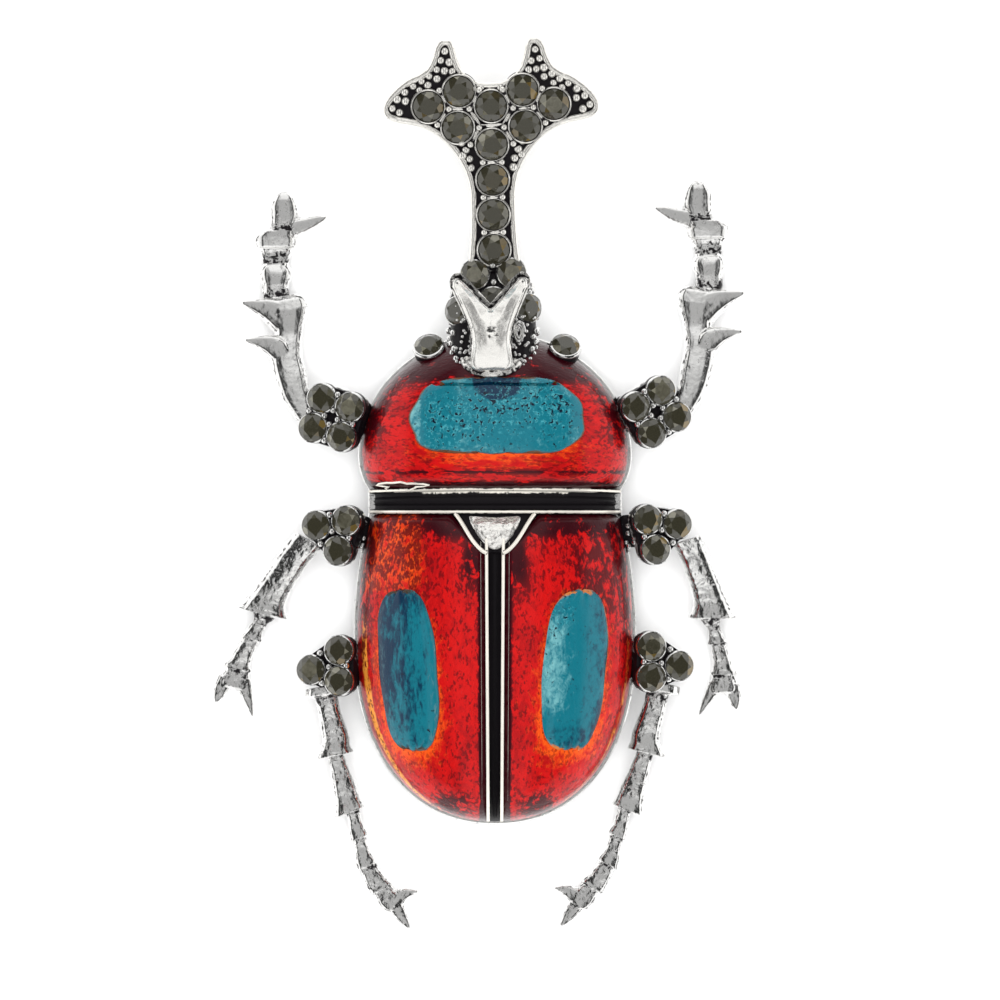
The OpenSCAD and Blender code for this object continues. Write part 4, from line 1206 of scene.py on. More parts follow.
def teal_drop(name, dome):
    """A drop of teal enamel that swells out of the red."""
    drop = drop_of(name)
    middle, half, long = drop.middle, drop.half, drop.long
    look, *enamel = DROPS[name]

    def place(u, v):
        t = math.sin(math.pi * (v - 0.5))
        across = math.sin(math.pi * (u - 0.5))
        wave = 1 + 0.025 * math.sin(9 * v + 3) + 0.018 * math.sin(23 * v) * math.copysign(1, across)
        y = middle.y + t * long * (1.05 + 0.015 * math.sin(14 * u + 1) + 0.015 * math.sin(31 * u))
        wide = across * 1.05 * half * bulge(t, drop.power) * wave * drop.narrowed(t)
        swell = ((1 - t ** 4) * (1 - across ** 4)) ** 0.6
        return dome.skin(middle.x + drop.slant * t + wide, y, 0.34 * swell - 0.04)

    def tint(p):
        shares = look((p.x - middle.x) / half, (p.y - middle.y) / long)
        return {**shares, "edge": 1 - smooth(-0.03, 0.06, p.z - dome.skin(p.x, p.y).z)}

    sheet = tinted(mended(laid_grid(48, 96, place), 0.01), tint)
    smoothed(thickened(sheet, 0.3), 60)
    finish = teal_enamel(f"teal_{name}", *enamel)
    return settled(sheet, f"{name}_drop", "teal_enamel", finish, f"{name}_patch")


# Stones, cups and beads


def seat_of(node):
    """Matrix that lays a stone of radius 1 into its seat, and its radius, read from the frame."""
    points = {tuple(round(mm(c), 4) for c in v.co) for v in frame["nodes"][node].data.vertices}
    points = [Vector(p) for p in points]
    point = max(points, key=lambda p: min((p - q).length for q in points if q is not p))
    axis = (sum(points, Vector()) / len(points) - point).normalized()
    radius = max((p - point - (p - point).dot(axis) * axis).length for p in points)
    middle = point + axis * radius * settings().stones.pavilion
    middle.x -= mm(settings().body.middle_x)
    side = Vector((1, 0, 0)) - axis.x * axis
    side.normalize()
    turn = Matrix((side, axis.cross(side), axis)).transposed().to_4x4()
    return Matrix.Translation(middle) @ turn, radius


def stone_nodes(start=""):
    return sorted(n for n in frame["nodes"] if n.startswith(start) and "stone" in n)


def cut_stone():
    """A round cut stone of radius 1: rings of points, hulled into facets. A ring has its number of
    points, its radius, its height and its turn, in steps between two points."""
    s = settings().stones
    rings = [
        (8, s.table, s.crown, 0.5), (8, 0.8, s.crown * 0.62, 0.0), (16, 1.0, 0.03, 0.5),
        (16, 1.0, -0.03, 0.5), (8, 0.5, -s.pavilion * 0.56, 0.0), (8, 0.02, -s.pavilion, 0.0),
    ]
    let_go()
    bpy.ops.mesh.primitive_circle_add(vertices=8, radius=0.4)
    stone = bpy.context.object
    bpy.ops.object.mode_set(mode="EDIT")
    for sides, radius, height, start in rings:
        turn = 2 * math.pi / sides * start
        bpy.ops.mesh.primitive_circle_add(
            vertices=sides, radius=radius, location=(0, 0, height), rotation=(0, 0, turn)
        )
    bpy.ops.mesh.select_all(action="SELECT")
    bpy.ops.mesh.convex_hull()
    bpy.ops.mesh.dissolve_limited(angle_limit=math.radians(1))
    return mended(stone, FINE_MERGE)


def facet_glints(obj, seed):
    """Gives each facet its own tone as painted glints, so that it flashes or stays dark; facets that
    face the upper left are painted lighter.
    """
    rng = random.Random(seed)
    attribute = obj.data.attributes.new("tone", "FLOAT", "FACE")
    sky = Vector((-0.5, 0.35, 0.8)).normalized()
    values = []
    for polygon in obj.data.polygons:
        # Painted light: facets that face the upper left are lighter.
        facing = max(0.0, polygon.normal.dot(sky))
        values.append(min(1.0, rng.random() ** 1.6 * 0.9 + 0.18 * facing ** 4))
    attribute.data.foreach_set("value", values)


CUP_RADIUS = 1.1


def cup_ring():
    """A cup's wall with its lip, spun round a stone of the cup radius."""
    r, wall = CUP_RADIUS, mm(settings().stones.cup_wall)
    profile = [
        (r + wall, -1.0), (r + wall, -0.35), (r + 0.19, -0.1), (r + 0.15, 0.03), (r + 0.07, 0.07),
        (r + 0.03, 0.0), (r + 0.04, -0.1), (r - 0.1, -0.3), (r - 0.3, -1.0),
    ]
    ring = circle(len(profile))
    for vertex, (out, height) in zip(ring.data.vertices, profile):
        vertex.co = (out, 0, height)
    opened(ring)
    bpy.ops.mesh.spin(steps=36, angle=2 * math.pi, center=(0, 0, 0), axis=(0, 0, 1))
    blackened(mended(ring, 0.001), lambda p: 0.9 if p.z < -0.15 else 0.0)
    return smoothed(ring, 50)


def bead_grain():
    """A small bead: a ball that is cut flat below."""
    let_go()
    bpy.ops.mesh.primitive_uv_sphere_add(segments=14, ring_count=9, radius=1)
    bead = bpy.context.object
    opened(bead)
    bpy.ops.mesh.bisect(plane_co=(0, 0, -0.55), plane_no=(0, 0, 1), use_fill=True, clear_inner=True)
    return smoothed(mended(bead, 0.001), 50)


def cups_for(seats):
    """A cup for each seat."""
    ring = cup_ring()
    made = []
    for turn, radius in seats:
        grow = radius / CUP_RADIUS
        made.append(copied(ring, turn @ Matrix.Diagonal((grow, grow, 1, 1))))
    removed(ring)
    return made


def prongs_for(seats, pitch, bridged=False):
    """Beads that hold the stones, on each side of the place where two of them come near. Where it
    is bridged, a bar joins the two beads."""
    grain = bead_grain()
    bars, spots = [], []
    size = mm(settings().stones.prong) / 2
    for i, (turn, radius) in enumerate(seats):
        for other, _ in seats[:i]:
            a, b = turn.translation, other.translation
            if (a - b).length > 1.2 * pitch:
                continue
            up = (turn.col[2].xyz + other.col[2].xyz).normalized()
            across = (b - a).cross(up).normalized()
            middle = (a + b) / 2
            if bridged:
                ends = [middle + across * side * radius * 0.66 - up * 0.08 for side in (LEFT, 0, RIGHT)]
                bars.append(tube(ends, 0.17))
            for side in (LEFT, RIGHT):
                spot = middle + across * side * radius * 0.62 + up * 0.02
                if all((spot - s).length > 1.6 * size for s, _ in spots):
                    spots.append((spot, up))
    made = []
    for spot, up in spots:
        turn = up.to_track_quat("Z", "Y").to_matrix().to_4x4()
        made.append(copied(grain, Matrix.Translation(spot) @ turn @ Matrix.Scale(size, 4)))
    removed(grain)
    return made + bars


def beads_at(spots, radius):
    """A bead on each spot, each a little smaller or larger than the radius."""
    grain = bead_grain()
    rng = random.Random(7)
    made = []
    for spot in spots:
        size = radius * rng.uniform(0.85, 1.1)
        made.append(copied(grain, Matrix.Translation(spot) @ Matrix.Scale(size, 4)))
    removed(grain)
    return made


def all_stones():
    """A cut stone in each seat, each turned and toned in its own way."""
    model = cut_stone()
    for seed, node in enumerate(stone_nodes()):
        turn, radius = seat_of(node)
        rng = random.Random(seed)
        spin = Matrix.Rotation(rng.uniform(0, math.tau), 4, "Z")
        wide = 1.0 if node.startswith("horn") else 1.08
        stone = copied(model, turn @ spin @ Matrix.Scale(wide * radius, 4))
        facet_glints(stone, seed)
        settled(stone, f"{node}_cut", "smoky_glass", smoky_glass("smoky_stone"), node)
    removed(model)


# Head and horns


HEAD_X = -0.14
HEAD_PITCH = 2.7
HEAD_SQUARE = 2.5


def head_front():
    return shield_y(1) - 1.6 + mm(settings().horns.head_l)


def head_top():
    return mm(settings().body.back_z) + mm(settings().horns.head_h)


def head_block(parts):
    """The rounded block of the head, with rows of beads round it, a grain of smaller ones on it and
    a spiral at its right."""
    low, top = mm(settings().body.back_z), head_top()
    wide, long = mm(settings().horns.head_w) / 2, 5.1
    middle = head_front() - long
    levels = [
        (low, 0.25), (low + 0.15, 0.05), (low + 1.5, 0), (top - 1.5, 0),
        (top - 0.9, 0.1), (top - 0.4, 0.4), (top - 0.1, 0.85), (top, 1.4),
    ]
    sections = [((HEAD_X, middle, z), wide - inset, long - inset) for z, inset in levels]
    block = rounded(lofted(sections, 28, HEAD_SQUARE), 1)
    parts.append(blackened(block, lambda p: 1.0 if p.z > low + 1.2 else 0.2))
    rng = random.Random(3)
    spots = []
    for row, (down, inset) in enumerate(((2.3, -0.06), (1.7, -0.03), (1.1, 0.05), (0.6, 0.25))):
        for k in range(34):
            a = math.tau * (k + 0.5 * (row % 2)) / 34 + rng.uniform(-0.04, 0.04)
            x = HEAD_X + (wide - inset) * squared(math.cos(a), HEAD_SQUARE)
            y = middle + (long - inset) * squared(math.sin(a), HEAD_SQUARE)
            if y > shield_y(0.72):
                spots.append(Vector((x, y, top - down)))
    parts.extend(beads_at(spots, 0.27))
    small = []
    for k in range(190):
        x, y = rng.uniform(-0.85, 0.85) * wide, rng.uniform(shield_y(0.76), head_front() - 3.2)
        if abs(x) > 1.1:
            part = abs(x) / wide
            fall = 0.1 * smooth(0.62, 0.8, part) + 0.5 * smooth(0.78, 0.98, part)
            small.append(Vector((HEAD_X + x, y, top + 0.03 - fall)))
    parts.extend(beads_at(small, 0.15))
    spiral = []
    for k in range(33):
        a = math.tau * k / 13
        r = 1 - 0.022 * k
        x, y = 2.05 + 0.42 * r * math.cos(a), 0.15 + 0.9 * r * math.sin(a)
        spiral.append(Vector((HEAD_X + x, shield_y(1) + y, top + 0.12)))
    parts.append(tube(spiral, 0.13))


def eye_bosses(parts):
    """A boss under each eye's cup, and a lip half round it."""
    for name in ("left_eye_stone", "right_eye_stone"):
        turn, radius = seat_of(name)
        sections = [
            ((0, 0, -3.0), 0.75 * radius, 0.9 * radius), ((0, 0, -1.4), 0.85 * radius, 0.95 * radius),
            ((0, 0, -0.7), radius, radius), ((0, 0, -0.4), radius, radius),
        ]
        boss = lofted(sections, 16)
        boss.data.transform(turn)
        parts.append(blackened(rounded(boss, 2), lambda p: 0.9))
        arc = [math.radians(a) for a in range(-165, -14, 10)]
        out = 1.14 * radius
        lip = tube([Vector((out * math.cos(a), out * math.sin(a), -0.04)) for a in arc], 0.17)
        lip.data.transform(turn)
        parts.append(lip)


def horn_turn(rise):
    """The turn of a horn, upwards by its rise and sideways as both horns lean."""
    return Matrix.Rotation(settings().horns.lean, 4, "Z") @ Matrix.Rotation(rise, 4, "X")


# Right half of the long horn's outline and its beads, in pitches of its stones
HORN_OUTLINE = [
    (0.74, -0.2), (0.66, 0.3), (0.61, 0.95), (0.59, 1.6), (0.61, 2.2), (0.77, 2.8), (1.1, 3.34), (1.52, 3.76),
    (2.03, 4.03), (2.6, 4.15), (2.92, 4.27), (3.02, 4.47), (2.94, 4.72), (2.66, 5.02), (2.32, 5.28), (2.0, 5.42),
    (1.74, 5.62), (1.58, 5.95), (1.5, 6.22), (1.36, 6.38), (1.2, 6.4), (1.08, 6.28), (1.0, 5.94), (0.88, 5.6),
    (0.66, 5.32), (0.36, 5.18), (0, 5.15),
]
HORN_BEADS = [
    (1.28, 6.12), (1.4, 5.86), (1.16, 5.8), (1.52, 5.6), (1.3, 5.56), (1.08, 5.54), (1.74, 5.42), (1.52, 5.34),
    (1.96, 5.28), (1.78, 5.16), (2.2, 5.14), (2.02, 5.02), (2.44, 4.98), (2.66, 4.78), (2.8, 4.52), (2.6, 4.4),
    (2.42, 4.72), (0.5, 5.04), (0.28, 5.05), (0.74, 3.3), (0.86, 3.52), (0.64, 3.04), (0.84, 3.14), (0.6, 2.78),
]


def horn_outline(steps):
    """The whole outline of the long horn, in pitches, from its right foot round to its left."""
    right = [Vector(p) for p in through(HORN_OUTLINE, steps)]
    return right + [Vector((-p.x, p.y)) for p in reversed(right[:-1])]


def long_horn():
    """The forked horn: a blackened plate with a rail along its edge, a line of cups and beads."""
    h = settings().horns
    pitch = mm(h.pitch)
    deck = -0.42
    outline = [p * pitch for p in horn_outline(4)]
    ground = plate(outline, deck, mm(h.thickness) + deck, 0.12)
    blackened(ground, lambda p: 1.0 if p.z > -0.5 else 0.0)
    rail = tube([Vector((x, y, -0.34)) for x, y in offset(outline, 0.1, closed=True)], 0.27, closed=True)
    spots = [Vector((side * x * pitch, y * pitch, -0.3)) for side in (LEFT, RIGHT) for x, y in HORN_BEADS]
    parts = [ground, rail] + beads_at(spots, mm(settings().stones.bead) * 0.54)
    root = Vector((HEAD_X + 0.1, head_front() - 0.3, head_top() + 0.4))
    for part in parts:
        part.data.transform(Matrix.Translation(root) @ horn_turn(h.rise))
    seats = [seat_of(node) for node in stone_nodes("horn_stone")]
    parts.extend(cups_for(seats))
    parts.extend(prongs_for(seats, pitch, True))
    return cast(parts, "long_horn", antique_silver("silver_horn", 1.0, 0.06, 0.2, 0.22))


# The crest horn's outer edge and the inner edge of its V: across in shares of its half span, along in
# shares of its length
CREST_OUTER = [
    (0.16, 0.01), (0.36, 0.024), (0.5, 0.065), (0.55, 0.12), (0.535, 0.18), (0.515, 0.25),
    (0.52, 0.33), (0.55, 0.42), (0.61, 0.51), (0.71, 0.62), (0.85, 0.76), (0.95, 0.86),
    (1.0, 0.92), (1.0, 0.96), (0.94, 0.992), (0.86, 1.0),
]
CREST_INNER = [
    (0.0, 0.665), (0.09, 0.69), (0.3, 0.785), (0.48, 0.875), (0.62, 0.945), (0.74, 0.988), (0.84, 1.0),
]


def crest_horn():
    """The Y-shaped horn: a satin dish between bright raised rims, bending up from its foot."""
    h = settings().horns
    half, long = mm(h.crest_span) / 2, mm(h.crest_l)
    outer = [Vector(p) for p in through(CREST_OUTER, 4)]
    inside = [Vector(p) for p in through(CREST_INNER, 4)]
    steps = len(outer) - 1
    notch_row = steps - len(inside) + 1
    notch = inside[0]
    inner = [Vector((0, mix(0.006, notch.y, k / notch_row))) for k in range(notch_row)] + inside

    def surface(u, v):
        k = round(v * steps)
        a, b = inner[k], outer[k]
        p = mix(a, b, u)
        wide = (b - a).length * half
        from_outer = (1 - u) * wide
        from_inner = u * wide if k > notch_row else math.hypot(p.x * half, (p.y - notch.y) * long)
        near = min(from_outer, from_inner, (steps - k) * 0.2)
        rim = 0.17 * (1 - smooth(0.13, 0.36, near)) - 0.16 * (1 - smooth(0.0, 0.14, near))
        foot = smooth(0.4, 0.1, p.y)
        dish = -0.2 * smooth(0.2, 1.4, near) * (1 - foot)
        bend = 0.5 * smooth(0.55, 1.0, p.y) ** 2 - 0.25 * smooth(0.1, 0.0, p.y) ** 2
        return Vector((p.x * half, p.y * long, rim * (1 - 0.8 * foot) + dish + bend))

    def mirrored(u, v):
        point = surface(u, v)
        return Vector((-point.x, point.y, point.z))

    # A darker mottled patch in the middle of the dish.
    def mottling(p):
        spot = math.hypot(p.x / 1.1, (p.y - 0.4 * long) / 1.0)
        return 0.36 * (1 - smooth(0.3, 1.2, spot))

    crest = mended(joined([laid_grid(30, steps, place) for place in (mirrored, surface)]), 0.01)
    blackened(bevelled(thickened(crest, mm(h.crest_t)), 0.12), mottling)
    # Painted shade: the side walls, whose faces turn sideways, are darkened.
    with_painted_shade(crest, [0.5 if abs(v.normal.z) < 0.7 else 0.0 for v in crest.data.vertices])
    shield = shield_dome()
    foot_y = shield_y(0.72) + 0.22
    foot = Vector((HEAD_X - 0.1, foot_y, shield.skin(0, foot_y).z + 0.42))
    crest.data.transform(Matrix.Translation(foot) @ horn_turn(h.crest_rise))
    post = lofted(
        [
            ((HEAD_X, foot_y + 2.3, 4.0), 1.6, 1.8), ((HEAD_X, foot_y + 2.3, foot.z - 0.9), 1.3, 1.6),
            ((HEAD_X, foot_y + 2.5, foot.z - 0.3), 1.0, 1.2),
        ], 20,
    )
    blackened(post, lambda p: 1.0)
    collar = []
    for a in range(-172, -7, 12):
        x, y = 2.05 * math.cos(math.radians(a)), 1.3 + 1.2 * math.sin(math.radians(a))
        collar.append(shield.skin(foot.x + x, foot_y + y))
    collar = blackened(tube(collar, 0.5), lambda p: 0.38)
    finish = antique_silver("silver_satin", 0.7, 0.12, 0.1, 0.16)
    return cast([crest, post, collar], "crest_horn", finish, 40)


# Legs


FRONT_HIP = (0.9, 0.55)
MIDDLE_HIP = (0.72, -0.55)
HIND_HIP = {LEFT: (0.0, -1.05), RIGHT: (-0.207, -1.05)}

# Across a leg: a flat top, then flanks that spread to a wider foot
LEG_PROFILE = [
    (1.0, -0.5), (1.0, -0.1), (0.93, 0.3), (0.8, 0.7), (0.66, 0.92), (0.35, 1.0), (0, 1.02), (-0.35, 1.0),
    (-0.66, 0.92), (-0.8, 0.7), (-0.93, 0.3), (-1.0, -0.1), (-1.0, -0.5), (-0.8, -1.0), (0, -1.0), (0.8, -1.0),
]

# Each piece: the slope of its end, how black its start is, and its rows. A row is a place along the
# leg, a place outward of its line, and a half width, all as shares of the leg's reach.
HIND_LEG = [
    (0, 0, [(-0.064, 0.018, 0.086), (-0.026, 0.023, 0.093)]),
    (-0.06, 1, [
        (-0.033, 0.009, 0.056), (0.054, 0.019, 0.056), (0.13, 0.022, 0.062), (0.206, 0.027, 0.069),
        (0.245, 0.045, 0.08), (0.268, 0.056, 0.094),
    ]),
    (-0.1, 1, [
        (0.27, 0.05, 0.04), (0.378, 0.052, 0.049), (0.455, 0.054, 0.06), (0.525, 0.058, 0.07), (0.565, 0.065, 0.084),
    ]),
    (-0.14, 1, [(0.56, 0.048, 0.034), (0.624, 0.05, 0.034), (0.666, 0.055, 0.04), (0.702, 0.053, 0.047)]),
    (-0.19, 1, [(0.7, 0.052, 0.033), (0.763, 0.056, 0.036), (0.813, 0.06, 0.045), (0.847, 0.056, 0.054)]),
    (0, 1, [(0.845, 0.054, 0.04), (0.907, 0.048, 0.048), (0.952, 0.036, 0.056), (0.981, 0.025, 0.062)]),
    (0, 0.7, [(0.975, 0.025, 0.045), (1.042, 0.004, 0.057), (1.08, -0.017, 0.06), (1.1, -0.03, 0.05)]),
    (0, 0, [(1.066, -0.034, 0.05), (1.05, -0.095, 0.028), (1.056, -0.146, 0.008)]),
    (0, 0, [(1.08, -0.02, 0.047), (1.158, -0.04, 0.031), (1.215, -0.058, 0.012)]),
]
MIDDLE_LEG = [
    (-0.31, 0.5, [
        (-0.051, 0.047, 0.111), (0.091, 0.068, 0.108), (0.233, 0.075, 0.11), (0.36, 0.08, 0.116),
        (0.46, 0.078, 0.132), (0.51, 0.07, 0.15), (0.551, 0.06, 0.172),
    ]),
    (-0.11, 1, [
        (0.54, 0.055, 0.1), (0.59, 0.048, 0.075), (0.633, 0.041, 0.05), (0.689, 0.043, 0.056), (0.725, 0.04, 0.062),
        (0.75, 0.037, 0.076),
    ]),
    (-0.13, 1, [
        (0.74, 0.04, 0.055), (0.834, 0.034, 0.064), (0.908, 0.028, 0.074), (0.96, 0.02, 0.082), (0.985, 0.015, 0.1),
    ]),
    (0, 1, [(0.975, 0.014, 0.075), (1.055, -0.007, 0.1), (1.107, -0.022, 0.115), (1.13, -0.025, 0.1)]),
    (0, 0, [(1.1, 0.044, 0.066), (1.197, 0.038, 0.052), (1.25, 0.029, 0.036), (1.282, 0.024, 0.014)]),
    (0, 0, [(1.059, -0.063, 0.065), (1.128, -0.139, 0.044), (1.174, -0.19, 0.03), (1.235, -0.25, 0.01)]),
]
FRONT_LEG = [
    (0, 0.6, [
        (-0.12, -0.01, 0.06), (0.03, 0.042, 0.084), (0.152, 0.057, 0.097), (0.253, 0.066, 0.096),
        (0.338, 0.056, 0.094), (0.406, 0.034, 0.086), (0.462, 0.022, 0.097), (0.519, 0.018, 0.121),
        (0.563, 0.023, 0.139), (0.6, 0.029, 0.137), (0.621, 0.023, 0.11),
    ]),
    (0, 0, [
        (0.22, 0.07, 0.07), (0.31, 0.1, 0.08), (0.365, 0.155, 0.062), (0.392, 0.22, 0.036), (0.402, 0.265, 0.02),
        (0.406, 0.286, 0.012),
    ]),
    (0, 0, [
        (0.43, 0.03, 0.08), (0.51, 0.06, 0.1), (0.572, 0.13, 0.076), (0.605, 0.2, 0.044), (0.622, 0.25, 0.024),
        (0.63, 0.274, 0.013),
    ]),
    (0, 1, [(0.611, 0.076, 0.08), (0.671, 0.075, 0.08), (0.716, 0.069, 0.08)]),
    (0, 0, [
        (0.704, 0.073, 0.075), (0.742, 0.066, 0.093), (0.784, 0.059, 0.1), (0.819, 0.054, 0.084),
        (0.829, 0.054, 0.06),
    ]),
    (0, 1, [(0.812, 0.052, 0.076), (0.84, 0.049, 0.078), (0.868, 0.045, 0.08)]),
    (0, 0, [
        (0.848, 0.054, 0.075), (0.897, 0.043, 0.1), (0.945, 0.036, 0.12), (0.985, 0.031, 0.122), (1.01, 0.029, 0.1),
        (1.026, 0.029, 0.07),
    ]),
    (0, 1, [(1.0, -0.013, 0.066), (1.04, -0.02, 0.07), (1.083, -0.029, 0.072)]),
    (0, 0, [
        (1.055, -0.021, 0.07), (1.114, -0.041, 0.084), (1.171, -0.046, 0.08), (1.213, -0.055, 0.06),
        (1.234, -0.057, 0.046), (1.246, -0.06, 0.028),
    ]),
    (0, 0, [
        (1.03, -0.07, 0.056), (1.04, -0.158, 0.044), (1.055, -0.225, 0.03), (1.062, -0.262, 0.018),
        (1.066, -0.28, 0.009),
    ]),
]


class Leg:
    """A leg's own line: where it starts, where it heads, and how far it reaches."""

    def __init__(self, name, side, root, hip, ahead, reach, turn):
        pitch = mm(settings().legs.pitch)
        angle = math.radians(turn)
        self.name = name
        self.side = side
        self.root = root
        self.hip = Vector((root.x + side * hip[0] * pitch, root.y + hip[1] * pitch))
        self.heading = Vector((side * math.sin(angle), ahead * math.cos(angle)))
        self.across = Vector((side * math.cos(angle), -ahead * math.sin(angle)))
        self.reach = reach

    def spot(self, row):
        """The place in plan of a table's row."""
        return self.hip + self.heading * row[0] * self.reach + self.across * row[1] * self.reach


def all_legs():
    """Each leg with its dome and table. A row has the root's distance from the dome and its place
    along it, the hip, the way along the body, the reach and the turn outwards, in degrees."""
    shield, wings = shield_dome(), wing_dome()
    back, front = mm(settings().body.shield_back), wings_front()
    rows = [
        ("front_left", LEFT, shield, 2.85, back + 5.65, FRONT_HIP, 1, 13.3, 8.2, FRONT_LEG),
        ("front_right", RIGHT, shield, 2.85, back + 6.1, FRONT_HIP, 1, 13.6, 6.5, FRONT_LEG),
        ("middle_left", LEFT, wings, 2.7, front - 1.45, MIDDLE_HIP, -1, 11.1, 31, MIDDLE_LEG),
        ("middle_right", RIGHT, wings, 3.0, front - 1.35, MIDDLE_HIP, -1, 10.5, 17.5, MIDDLE_LEG),
        ("hind_left", LEFT, wings, 2.2, front - 12.0, HIND_HIP[LEFT], -1, 15.8, -16.2, HIND_LEG),
        ("hind_right", RIGHT, wings, 2.2, front - 11.7, HIND_HIP[RIGHT], -1, 16.2, -19, HIND_LEG),
    ]
    for name, side, dome, out, y, hip, ahead, reach, turn, table in rows:
        root = Vector((side * (dome.half_at(y) + out), y, mm(settings().legs.root_z)))
        yield Leg(name, side, root, hip, ahead, reach, turn), dome, table


def leg_piece(leg, slope, rows):
    """One lofted length of a leg. Where it flares to its end it gets a lip and a hollow, as a bell."""
    s = settings().legs
    claw = mm(s.claw_h) / 2
    hip_z = mm(s.root_z) - mm(s.root_t) + 0.35
    flares = rows[-1][2] > 1.1 * rows[-2][2]
    rows = through(rows, 4)
    way = (leg.spot(rows[-1]) - leg.spot(rows[0])).normalized()
    upright = Vector((-way.y, way.x))
    start = leg.spot(rows[0])
    sections = []
    pointed = rows[-1][2] < 0.02
    crown = None
    for row in rows:
        half = max(0.08, row[2] * leg.reach)
        high = max(mm(s.finest), min(s.flatness * half, mm(s.claw_h)))
        fall = max(0.0, 1 - row[0]) ** 1.1
        z = max(min(high, claw), mix(claw, hip_z, fall))
        crown = crown or z + high
        if pointed:
            z = max(z, mix(z, crown - high, 0.8))
        thick = min(high, claw) if row[0] > 0.93 else high
        spot = leg.spot(row) - start
        sections.append(((spot.dot(upright), max(thick, z), spot.dot(way)), half, thick))
    (x, y, long), half, thick = sections[-1]
    ends = [(min(0.45 * thick, 0.2), 0.7, 0.7)]
    if flares:
        ends = [(0.1, 1.03, 1.03), (0.24, 1.03, 1.03), (0.3, 0.95, 0.94), (0.24, 0.82, 0.78), (-0.1, 0.66, 0.62)]
    for beyond, wide, high in ends:
        sections.append(((x, y, long + beyond), wide * half, high * thick))
    piece = lofted(sections, profile=LEG_PROFILE)
    for vertex in piece.data.vertices:
        vertex.co.z -= leg.side * slope * vertex.co.x * max(0.0, vertex.co.z / long) ** 2
    frame_turn = Matrix(((upright.x, 0, way.x), (upright.y, 0, way.y), (0, 1, 0))).to_4x4()
    piece.data.transform(Matrix.Translation((start.x, start.y, 0)) @ frame_turn)
    return mended(piece, FINE_MERGE)


def leg_limb(leg, table):
    """A whole leg, cast in one, with antique black at the narrow starts of its pieces, and painted
    shade as a dark line where its top turns into its flanks.
    """
    limb = fused(joined([leg_piece(leg, slope, rows) for slope, _, rows in table]))
    necks = []
    for _, black, rows in table:
        if black:
            start = leg.spot(rows[0])
            way = (leg.spot(rows[1]) - start).normalized()
            necks.append((start, way, rows[0][2] * leg.reach, black))

    def amount(p):
        most = 0.0
        for start, way, half, black in necks:
            off = Vector((p.x, p.y)) - start
            along = off.dot(way)
            beside = (off - along * way).length / half
            grown = smooth(0.15, 0.4, along) * (1 - smooth(0.5 * half, 2.2 * half, along))
            most = max(most, black * grown * (1 - smooth(0.9, 1.25, beside)))
        return 0.46 * most

    blackened(limb, amount)
    # Painted shade: a dark line where the leg's top turns into its flanks.
    with_painted_shade(limb, [0.4 * math.exp(-((v.normal.z - 0.55) / 0.16) ** 2) for v in limb.data.vertices])
    finish = antique_silver("silver_smooth", 0.8, 0.05, 0.1, 0.0)
    if not leg.name.startswith("front"):
        finish = antique_silver("silver_hammered", 2.0, 0.03, 0.4, 0.0)
    return cast([limb], f"{leg.name}_leg", finish, 75)


def leg_root(leg, dome):
    """The pad of stones beside the body, and the arm that joins it to the rim."""
    s = settings().legs
    seats = [seat_of(node) for node in stone_nodes(leg.name)]
    turn = Matrix.Translation(leg.root) @ Matrix.Rotation(leg.side * s.root_lean, 4, "Y")
    flat = turn.inverted()
    let_go()
    bpy.ops.mesh.primitive_circle_add(vertices=24, radius=1.0)
    pad = bpy.context.object
    bpy.ops.object.mode_set(mode="EDIT")
    bpy.ops.mesh.delete(type="VERT")
    for seat, radius in seats:
        spot = flat @ seat.translation
        for low, grow in ((-0.6, 0.0), (-1.2, 0.06), (-1.7, 0.14)):
            place = (spot.x, spot.y, low)
            bpy.ops.mesh.primitive_circle_add(vertices=24, radius=radius + grow, location=place)
    bpy.ops.mesh.select_all(action="SELECT")
    bpy.ops.mesh.convex_hull()
    pad = mended(pad, 0.001)
    blackened(pad, lambda p: 1.0 if p.z > -0.6 else 0.0)
    pad.data.transform(turn)
    rim_x = dome.half_at(leg.root.y) - 0.5
    gap = abs(leg.root.x) - rim_x
    sections = [
        ((0, 0.0, 0.0), 1.35, 0.5), ((0, 0.35, 0.3 * gap), 1.3, 0.62),
        ((0, 0.9, 0.7 * gap), 1.3, 0.6), ((0, 1.0, gap), 1.2, 0.5),
    ]
    arm = rounded(lofted(sections, 16, 3), 2)
    outwards = ((0, 0, leg.side, leg.side * rim_x), (1, 0, 0, leg.root.y), (0, 1, 0, 3.1), (0, 0, 0, 1))
    arm.data.transform(Matrix(outwards))
    blackened(mended(arm, FINE_MERGE), lambda p: 0.95)
    rng = random.Random(leg.name)
    spots = []
    for k in range(9):
        t = rng.uniform(0.1, 0.9)
        x = leg.side * mix(rim_x + 0.5, abs(leg.root.x) - 1.6, t)
        spots.append(Vector((x, leg.root.y + rng.uniform(-1.2, 1.2), mix(4.0, 4.6, t))))
    parts = [pad, arm] + beads_at(spots, 0.24) + cups_for(seats) + prongs_for(seats, mm(s.pitch))
    return cast(parts, f"{leg.name}_root", silver())


# Antique black in the recesses


def spread_rays(count):
    """Directions spread evenly over a ball."""
    golden = math.pi * (3 - math.sqrt(5))
    rays = []
    for k in range(count):
        z = 1 - 2 * (k + 0.5) / count
        r = math.sqrt(1 - z * z)
        rays.append(Vector((r * math.cos(golden * k), r * math.sin(golden * k), z)))
    return rays


